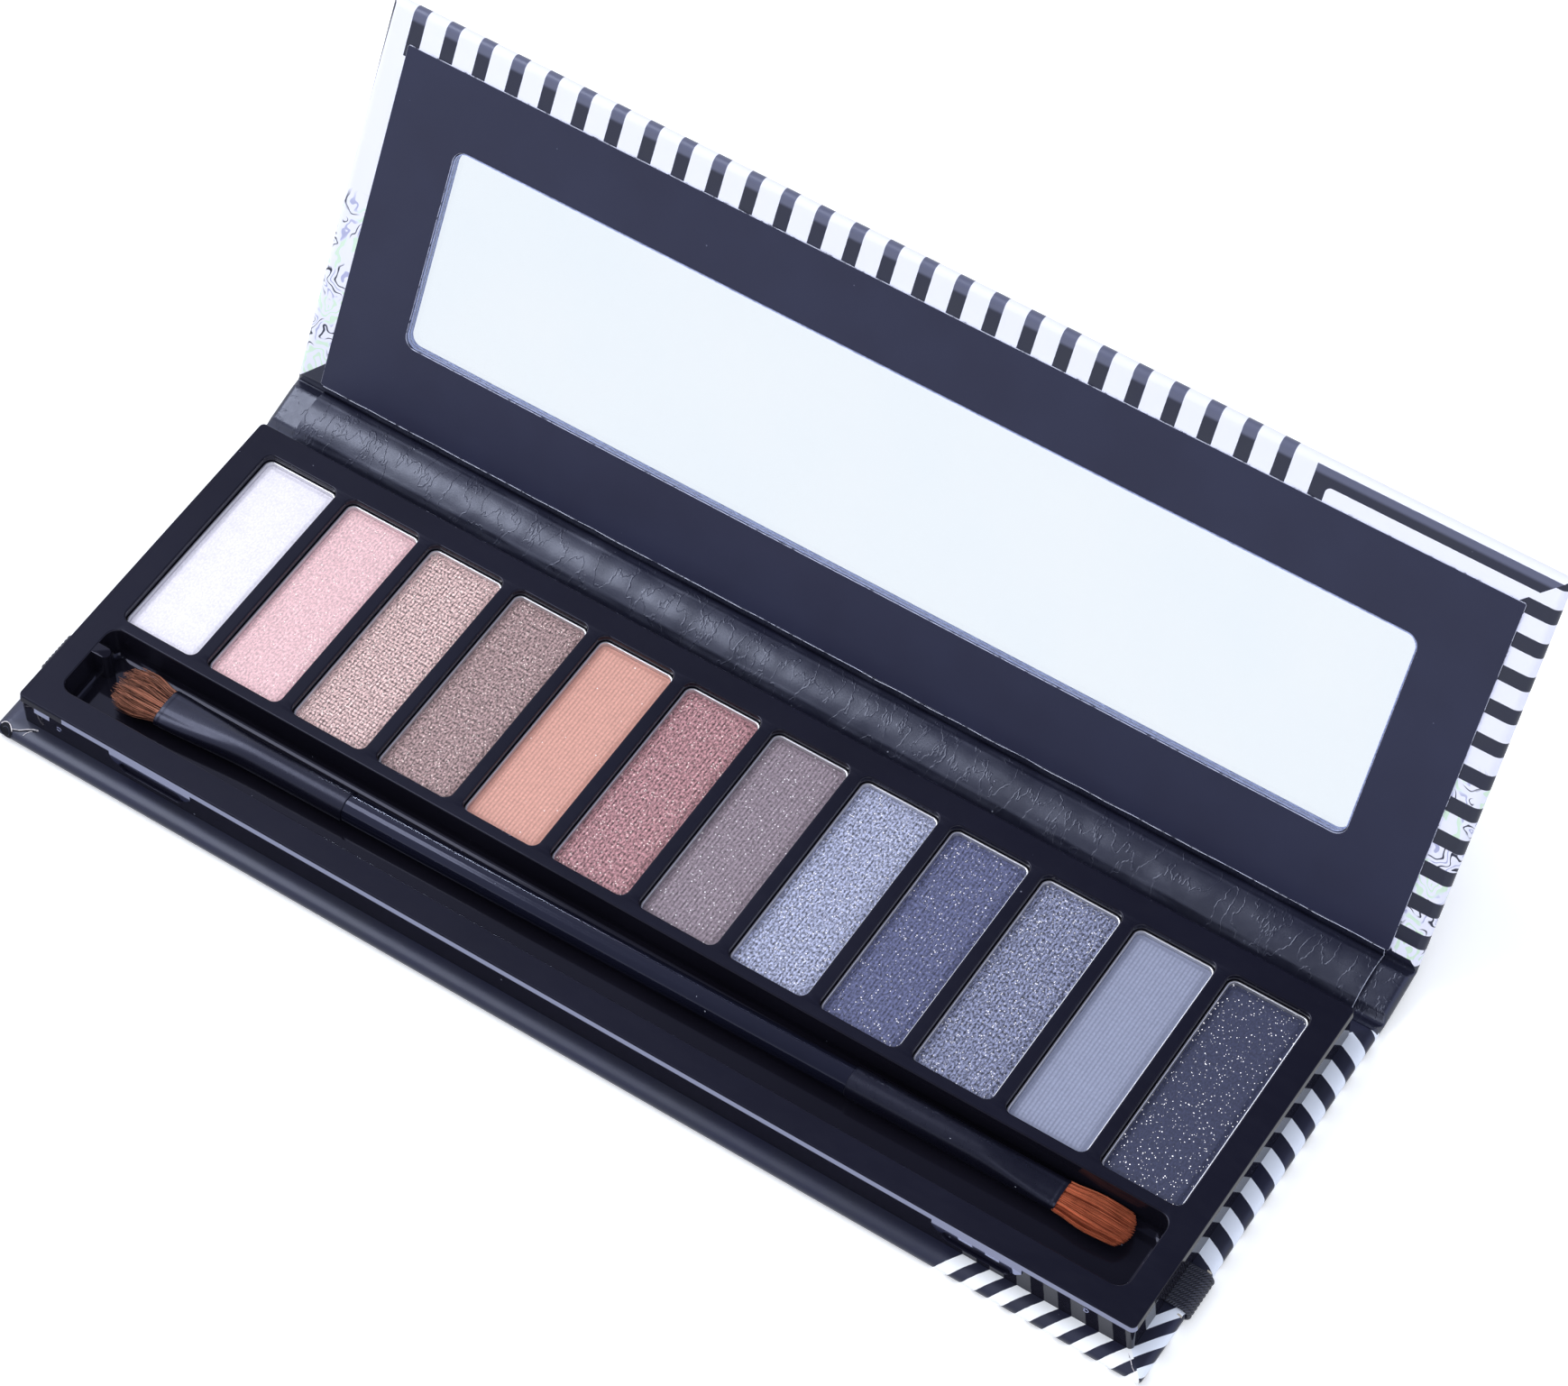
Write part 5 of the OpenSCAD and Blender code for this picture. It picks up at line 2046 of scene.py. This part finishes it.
@dataclass(frozen=True)
class Brush:
    """A double-ended brush: a lacquered handle, two crimped ferrules and their tufts."""

    handle: Finish
    coat: Finish
    left_hair: Finish
    right_hair: Finish
    half_handle: float = 42.75
    handle_r: float = 2.15
    tube_r: float = 2.375

    def stick(self) -> Piece:
        """Builds the handle, a hair slimmer in the middle."""
        skin = Skin()
        rows, sheet = [], []
        for x in spread(-self.half_handle - 0.5, self.half_handle + 0.5, 41):
            r = self.handle_r - 0.06 * (1 - (x / self.half_handle) ** 2)
            turns = circle(48)
            rows.append([(x, r * cos(t), r * sin(t)) for t in turns])
            sheet.append([(x, r * t) for t in turns])
        loops = skin.grid(rows, sheet, closed=True)
        for loop in (loops[0], loops[-1]):
            skin.fill(loop, axes=(1, 2))
        piece = skin.make("brush_handle_stick", BRUSH, (self.handle,), weighted=False)
        return settle(piece, "brush", "handle_lacquer", "brush_handle")

    def ferrule(
        self, name: str, side: int, straight: float, length: float, width: float, thick: float, node: str
    ) -> Piece:
        """Builds one ferrule.

        Args:
            name: The piece's name.
            side: -1 for the left end and 1 for the right.
            straight: How far it stays round from the handle.
            length: Its whole length.
            width: Width of the pressed end.
            thick: Thickness of the pressed end.
            node: The CAD node that it replaces.

        Returns:
            The finished piece.
        """
        start, r = self.half_handle, self.tube_r
        stations = [(0.0, 0.92), (0.02, 0.97), (0.1, 1.0), (0.5, 1.0)]
        stations += [(d, 1.0) for d in spread(1.0, straight, 6)]
        stations += [(d, 1.0) for d in spread(straight + 1.2, length - 1.0, 20)]
        stations += [
            (length - 0.75, 0.985), (length - 0.6, 1.0), (length - 0.1, 1.0), (length, 0.97), (length, 0.9),
            (length - 1.2, 0.88),
        ]
        rows, sheet = [], []
        for d, scale in stations:
            press = smooth(d, straight, length * 1.02)
            half_w = (r + (width / 2 - r) * press) * scale
            half_t = (r + (thick / 2 - r) * press) * scale
            power = 1 - 0.28 * press
            ring = []
            for t in circle(64):
                c, s = cos(t), sin(t)
                y = half_w * copysign(abs(c) ** power, c)
                z = half_t * copysign(abs(s) ** (1 - 0.12 * press), s)
                groove = 0.10 * press * exp(-(((abs(y) - 0.45 * half_w) / 0.35) ** 2)) * abs(s)
                ring.append((side * (start + d), y, z * (1 - groove)))
            rows.append(ring)
            sheet.append([(side * d, t * r) for t in circle(64)])
        skin = Skin()
        loops = skin.grid(rows, sheet, closed=True)
        skin.fill(loops[-1], axes=(1, 2))
        piece = skin.make(name, BRUSH, (self.coat,), weighted=False)
        return settle(piece, "brush", "ferrule", node)

    def build(self) -> None:
        """Builds the whole brush."""
        self.stick()
        self.ferrule("brush_ferrule_left_tube", -1, 16.0, 32.8, 6.6, 2.4, "brush_ferrule_left")
        self.ferrule("brush_ferrule_right_tube", 1, 20.0, 34.0, 5.2, 2.4, "brush_ferrule_right")
        Tuft(
            "brush_tuft_left_hair", "brush_tuft_left", "natural_bristle", self.left_hair,
            side=-1, start=75.3, length=9.5, root=(6.2, 2.1), full=(7.8, 3.6), full_at=0.6, tip=(7.0, 3.0),
            hairs=560, dome=0.24, stray=0.36, thick=(0.05, 0.1), short=0.8,
        ).build()
        Tuft(
            "brush_tuft_right_hair", "brush_tuft_right", "synthetic_bristle", self.right_hair,
            side=1, start=76.5, length=11.5, root=(5.3, 2.1), full=(6.4, 2.4), full_at=0.55, tip=(5.8, 1.1),
            hairs=820, dome=0.15, stray=0.08, thick=(0.035, 0.065), short=0.95,
        ).build()


# ---- Studio ----


@dataclass(frozen=True)
class StudioFloor(Finish):
    """A plain white sweep that stays white in the picture and in reflections."""

    def paint(self, graph: Graph) -> None:
        """Diffuse paint that keeps the shadow, and glows where it is mirrored."""
        ray = graph.add("ShaderNodeLightPath")
        tone = graph.colour(graph.cloud(graph.place(), 400.0, 2.0), (0.93, 0.93, 0.93, 1.0), (0.96, 0.96, 0.96, 1.0))
        paint = graph.add("ShaderNodeBsdfDiffuse", {"Color": tone}).outputs[0]
        glow = graph.add("ShaderNodeEmission", {"Color": (0.93, 0.96, 1.0, 1.0), "Strength": 0.95}).outputs[0]
        lift = graph.add("ShaderNodeEmission", {"Color": (1.0, 1.0, 1.0, 1.0), "Strength": 0.25}).outputs[0]
        seen = graph.add("ShaderNodeAddShader", {0: paint, 1: lift}).outputs[0]
        direct = graph.add("ShaderNodeMixShader", {0: ray.outputs["Is Camera Ray"], 1: paint, 2: seen}).outputs[0]
        mirrored = graph.math("MAXIMUM", ray.outputs["Is Glossy Ray"], ray.outputs["Is Transmission Ray"])
        both = graph.add("ShaderNodeMixShader", {0: mirrored, 1: direct, 2: glow}).outputs[0]
        graph.add("ShaderNodeOutputMaterial", {0: both})


@dataclass(frozen=True)
class Studio:
    """The floor, the lights and the camera."""

    half_floor: float = 3000.0
    fill: Colour = (0.74, 0.78, 0.86, 1.0)
    horizon: Colour = (0.97, 0.985, 1.0, 1.0)
    high: Colour = (0.15, 0.16, 0.24, 1.0)
    high_left: Colour = (1.15, 1.19, 1.45, 1.0)
    high_right: Colour = (0.75, 0.8, 1.1, 1.0)
    key_place: Point = (-0.82, -0.02, 1.14)
    key_watts: float = 8.0
    key_size: float = 0.75
    front_place: Point = (0.4, -1.0, 1.15)
    front_watts: float = 4.5
    front_size: float = 0.9
    eye: Point = (233.200, -345.597, 620.893)
    right: Point = (0.833881, 0.551855, -0.009963)
    down: Point = (0.446168, -0.684590, -0.576429)
    forward: Point = (-0.324926, 0.476228, -0.817086)
    lens: float = 117.488
    shift: Flat = (0.02966, -0.02101)

    def floor(self) -> None:
        """Lays the floor."""
        skin = Skin()
        marks = spread(-self.half_floor, self.half_floor, 9)
        skin.grid([[(x, y, -0.02) for x in marks] for y in marks])
        piece = skin.make("studio_floor", TABLE, (StudioFloor("studio_floor"),), weighted=False)

    def world(self) -> None:
        """Makes the surroundings: white near the horizon, dimmer high up and at the right."""
        world = bpy.data.worlds.new("studio")
        bpy.context.scene.world = world
        world.use_nodes = True
        graph = Graph(world.node_tree)
        world.node_tree.nodes.clear()
        ray = graph.add("ShaderNodeLightPath")
        direction = graph.add("ShaderNodeTexCoord").outputs["Generated"]
        split = graph.add("ShaderNodeSeparateXYZ", {0: direction})
        high = graph.colour(graph.span(split.outputs[0], -0.2, -0.5), self.high, self.high_left)
        high = graph.colour(graph.span(split.outputs[0], 0.3, 0.6), high, self.high_right)
        mirrored = graph.colour(graph.span(split.outputs[2], 0.15, 0.5), self.horizon, high)
        seen = graph.math("MAXIMUM", ray.outputs["Is Glossy Ray"], ray.outputs["Is Transmission Ray"])
        tone = graph.colour(seen, self.fill, mirrored)
        tone = graph.colour(ray.outputs["Is Camera Ray"], tone, (1.0, 1.0, 1.0, 1.0))
        back = graph.add("ShaderNodeBackground", {"Color": tone, "Strength": 1.0})
        graph.add("ShaderNodeOutputWorld", {0: back.outputs[0]})

    def lamp(self, name: str, place: Point, size: float, watts: float) -> None:
        """Hangs a soft square lamp at a place in metres, turned to the frame's origin."""
        light = bpy.data.lights.new(name, "AREA")
        light.shape, light.size, light.energy = "SQUARE", size, watts
        light.color = (0.95, 0.97, 1.0)
        lamp = bpy.data.objects.new(name, light)
        lamp.location = place
        lamp.rotation_euler = (-Vector(place)).to_track_quat("-Z", "Y").to_euler()
        bpy.context.scene.collection.objects.link(lamp)

    def camera(self) -> None:
        """Sets the camera."""
        data = bpy.data.cameras.new("camera")
        data.sensor_width, data.lens = 36.0, self.lens
        data.shift_x, data.shift_y = self.shift
        data.clip_start, data.clip_end = 0.01, 100.0
        camera = bpy.data.objects.new("camera", data)
        axes = [Vector(self.right).normalized(), -Vector(self.down).normalized(), -Vector(self.forward).normalized()]
        spin = Matrix([[axis[k] for axis in axes] for k in range(3)]).to_4x4()
        camera.matrix_world = Matrix.Translation(Vector(self.eye) * MM) @ spin
        bpy.context.scene.collection.objects.link(camera)
        bpy.context.scene.camera = camera

    def build(self) -> None:
        """Sets up the studio."""
        self.floor()
        self.world()
        self.lamp("key", self.key_place, self.key_size, self.key_watts)
        self.lamp("front", self.front_place, self.front_size, self.front_watts)
        self.camera()
        scene = bpy.context.scene
        scene.view_settings.view_transform = "Standard"
        LOG.info("studio ready")


# ---- The palette ----


# The warm colour of the flakes' painted glint.
PAINTED_GLINT_WARM = rgb(255, 240, 234)
SHADES: tuple[PressedPowder, ...] = (
    PressedPowder("powder_pearl_white", rgb(239, 235, 245), Press.PLAIN, relief=0.02, grain=0.18, flakes=0.05),
    PressedPowder(
        "powder_pale_pink", rgb(231, 191, 194), relief=0.03, painted_relief_shade=0.15, grain=0.5, flakes=0.16, glint=PAINTED_GLINT_WARM
    ),
    PressedPowder(
        "powder_rose_satin", rgb(204, 173, 170), Press.WEAVE, relief=0.07, painted_relief_shade=1.1, grain=1.3, flakes=0.32,
        glint=PAINTED_GLINT_WARM,
    ),
    PressedPowder(
        "powder_mauve_brown", rgb(160, 134, 133), Press.WEAVE, cell=0.58, relief=0.05, painted_relief_shade=0.6, grain=1.5,
        flakes=0.22, glint=PAINTED_GLINT_WARM,
    ),
    PressedPowder(
        "powder_warm_peach", rgb(213, 157, 143), relief=0.03, painted_relief_shade=0.4, grain=0.2, pearl=0.0, flakes=0.01
    ),
    PressedPowder(
        "powder_plum_brown", rgb(166, 122, 126), relief=0.05, painted_relief_shade=0.7, grain=1.5, flakes=0.22, glint=PAINTED_GLINT_WARM
    ),
    PressedPowder("powder_dusk", rgb(138, 124, 133), relief=0.04, painted_relief_shade=0.7, grain=0.8, flakes=0.14),
    PressedPowder("powder_silver_blue", rgb(153, 157, 182), relief=0.06, painted_relief_shade=0.55, grain=1.7, flakes=0.28),
    PressedPowder("powder_deep_blue", rgb(89, 93, 126), relief=0.05, painted_relief_shade=0.55, grain=1.2, flakes=0.2),
    PressedPowder("powder_steel_blue", rgb(118, 122, 148), relief=0.06, painted_relief_shade=0.6, grain=2.0, flakes=0.32),
    PressedPowder(
        "powder_matte_slate", rgb(142, 147, 171), relief=0.03, painted_relief_shade=0.42, grain=0.15, pearl=0.0, flakes=0.0
    ),
    PressedPowder(
        "powder_night_glitter", rgb(56, 60, 86), Press.PLAIN, relief=0.04, grain=0.5, flakes=0.85, flake=0.36,
        dot=0.52, spark=1.7,
    ),
)


@dataclass(frozen=True)
class Palette:
    """The whole palette, built from its sub-assemblies."""

    black: Finish = field(default_factory=lambda: GlossPaper("black_print"))
    spine_black: Finish = field(default_factory=lambda: GlossPaper("spine_paper", rgb(20, 21, 36), 0.3, 0.075, 1.8))
    under: Finish = field(default_factory=lambda: LinerPaper("inner_paper"))
    cut: Finish = field(default_factory=lambda: CutPaper("cut_paper"))

    def case(self) -> None:
        """Builds the base, spine and lid."""
        # The front and right rims are the lid's paper given whites of their own, the front's brighter and the right's
        # bluer, to stand in for how each is lit: painted light.
        front = PrintedPaper("print_base_front", Layout.BASE_FRONT, rgb(253, 254, 255))
        side = PrintedPaper("print_base_side", Layout.BASE_SIDE, rgb(236, 242, 255))
        WrappedBoard(
            "case_base", BASE, "base", "base_print", ("base_wrap",), Outline(-98, 98, -3, 63.2, 0.8),
            (front, side, self.black, self.black), self.under, front, groove=(BAND_NEAR, BAND_FAR, 0.75),
            windows=BAND_POCKETS, window_floor=0.45, window_closed=True, crown=2.9,
        ).build()
        WrappedBoard(
            "case_spine", SPINE, "spine", "spine_print", ("spine_wrap",), Outline(-98, 98, 0.775, 8.475, 0.8),
            (self.spine_black,) * 4, self.spine_black, self.spine_black, inner_reach=2.0, outer_reach=2.0,
        ).build()
        # A near-black paper that paints the shade inside the roll's mouth, beside the crease and at the right tip.
        shade_paint = GlossPaper("fold_painted_shade", rgb(7, 7, 12), 0.5, 0.02, 1.3)
        CornerFolds(CutPaper("fold_edge", rgb(236, 230, 234)), self.black, shade_paint).build()
        lid = (Layout.LID_HINGE, Layout.LID_RIGHT, Layout.LID_TOP, Layout.LID_LEFT, Layout.LID_BACK)
        *sides, back = (PrintedPaper(f"print_{layout.value}", layout) for layout in lid)
        WrappedBoard(
            "case_lid", LID, "lid", "lid_print", ("lid_wrap",), Outline(-98, 98, 0.775, 65.6, 0.8),
            tuple(sides), self.under, back, inner_reach=6.0, windows=(MIRROR_WINDOW,),
        ).build()

    def hinges(self) -> None:
        """Builds the papers of both hinges."""
        paper = self.spine_black
        rear = Hinge(Board(SPINE.y, SPINE.z), SPINE.tilt, "base", "spine")
        front = Hinge(Board(LID.y, LID.z, tilt=SPINE.tilt), LID.tilt - SPINE.tilt, "spine", "lid")
        HingeLiner("hinge_liner_rear", rear, paper, self.cut, -3.6, 4.625, -4.625, nodes=("spine_liner",)).build()
        HingeLiner("hinge_liner_front", front, paper, self.cut, -4.625, 1.78, 4.625).build()
        HingeSleeve("hinge_sleeve_rear", rear, paper).build()
        HingeSleeve("hinge_sleeve_front", front, paper).build()

    def inside(self) -> None:
        """Builds what the case holds."""
        violet, blue = (0.76, 0.78, 1.0, 1.0), (0.66, 0.7, 1.0, 1.0)
        satin = TrayPlastic("tray_satin", rgb(18, 18, 32), 0.34, 0.5, 0.012, specular=0.2, tint=violet)
        # The gloss coat's base colour is set lighter than the front wall's, though both are one black plastic, to lift
        # the trough's shaded walls: painted light.
        gloss = TrayPlastic("tray_gloss", rgb(22, 21, 30), 0.08, 0.02, 0.004, specular=0.3, tint=violet)
        wall = TrayPlastic("tray_wall_gloss", rgb(12, 11, 19), 0.045, 0.01, 0.003, specular=1.0, ior=2.8, tint=blue)
        Tray(satin, gloss, wall).build()
        tin = PanTin("pan_tin")
        for number, powder in enumerate(SHADES, 1):
            pan = Pan(number, powder, tin)
            pan.metal()
            pan.cake()
        ElasticBand().build()
        LidLiner(LinerPaper("lid_liner_paper"), self.cut).build()
        mirror = Mirror()
        mirror.pane()
        mirror.back()

    def brush(self) -> None:
        """Builds the brush."""
        handle = Lacquer("brush_gloss", rgb(16, 17, 29), 0.08, 0.6)
        coat = Lacquer("brush_satin", rgb(12, 12, 22), 0.28, 0.55)
        brown = Bristle("hair_brown", rgb(52, 27, 23), rgb(208, 142, 116))
        amber = Bristle("hair_amber", rgb(116, 48, 28), rgb(216, 122, 86))
        Brush(handle, coat, brown, amber).build()

    def hidden(self, nodes: dict[str, Piece]) -> None:
        """Dresses the CAD nodes that stay: boards, tape and glue."""
        board = PlainStock("greyboard", rgb(120, 116, 110), rgb(168, 164, 156))
        tape = PlainStock("tape_film", rgb(205, 205, 200), rgb(228, 228, 224), 3.0, 0.4)
        glue = PlainStock("glue_dot", rgb(214, 206, 182), rgb(232, 228, 210), 1.2, 0.35)
        stock = {
            "base_board": board,
            "spine_board": board,
            "lid_back_ply": board,
            "lid_window_ply": board,
            "base_liner": self.under,
            "tray_tape": tape,
            "mirror_tape": tape,
            "pan_glue": glue,
            "tray_base": TrayPlastic("tray_base_plastic", rgb(32, 32, 42), 0.3, 0.2, 0.01),
        }
        for name, finish in stock.items():
            for slot in nodes[name].material_slots:
                slot.link = "OBJECT"
                slot.material = finish.material()
            LOG.info("%s dressed", name)

    def build(self) -> None:
        """Loads the frame, builds every piece over it and sets the studio."""
        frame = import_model()
        self.case()
        self.hinges()
        self.inside()
        self.brush()
        self.hidden(frame["nodes"])
        Studio().build()
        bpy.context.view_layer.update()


def main() -> None:
    """Builds the scene."""
    logging.basicConfig(level=logging.INFO, format="%(name)s: %(message)s")
    Palette().build()


if __name__ == "__main__":
    main()
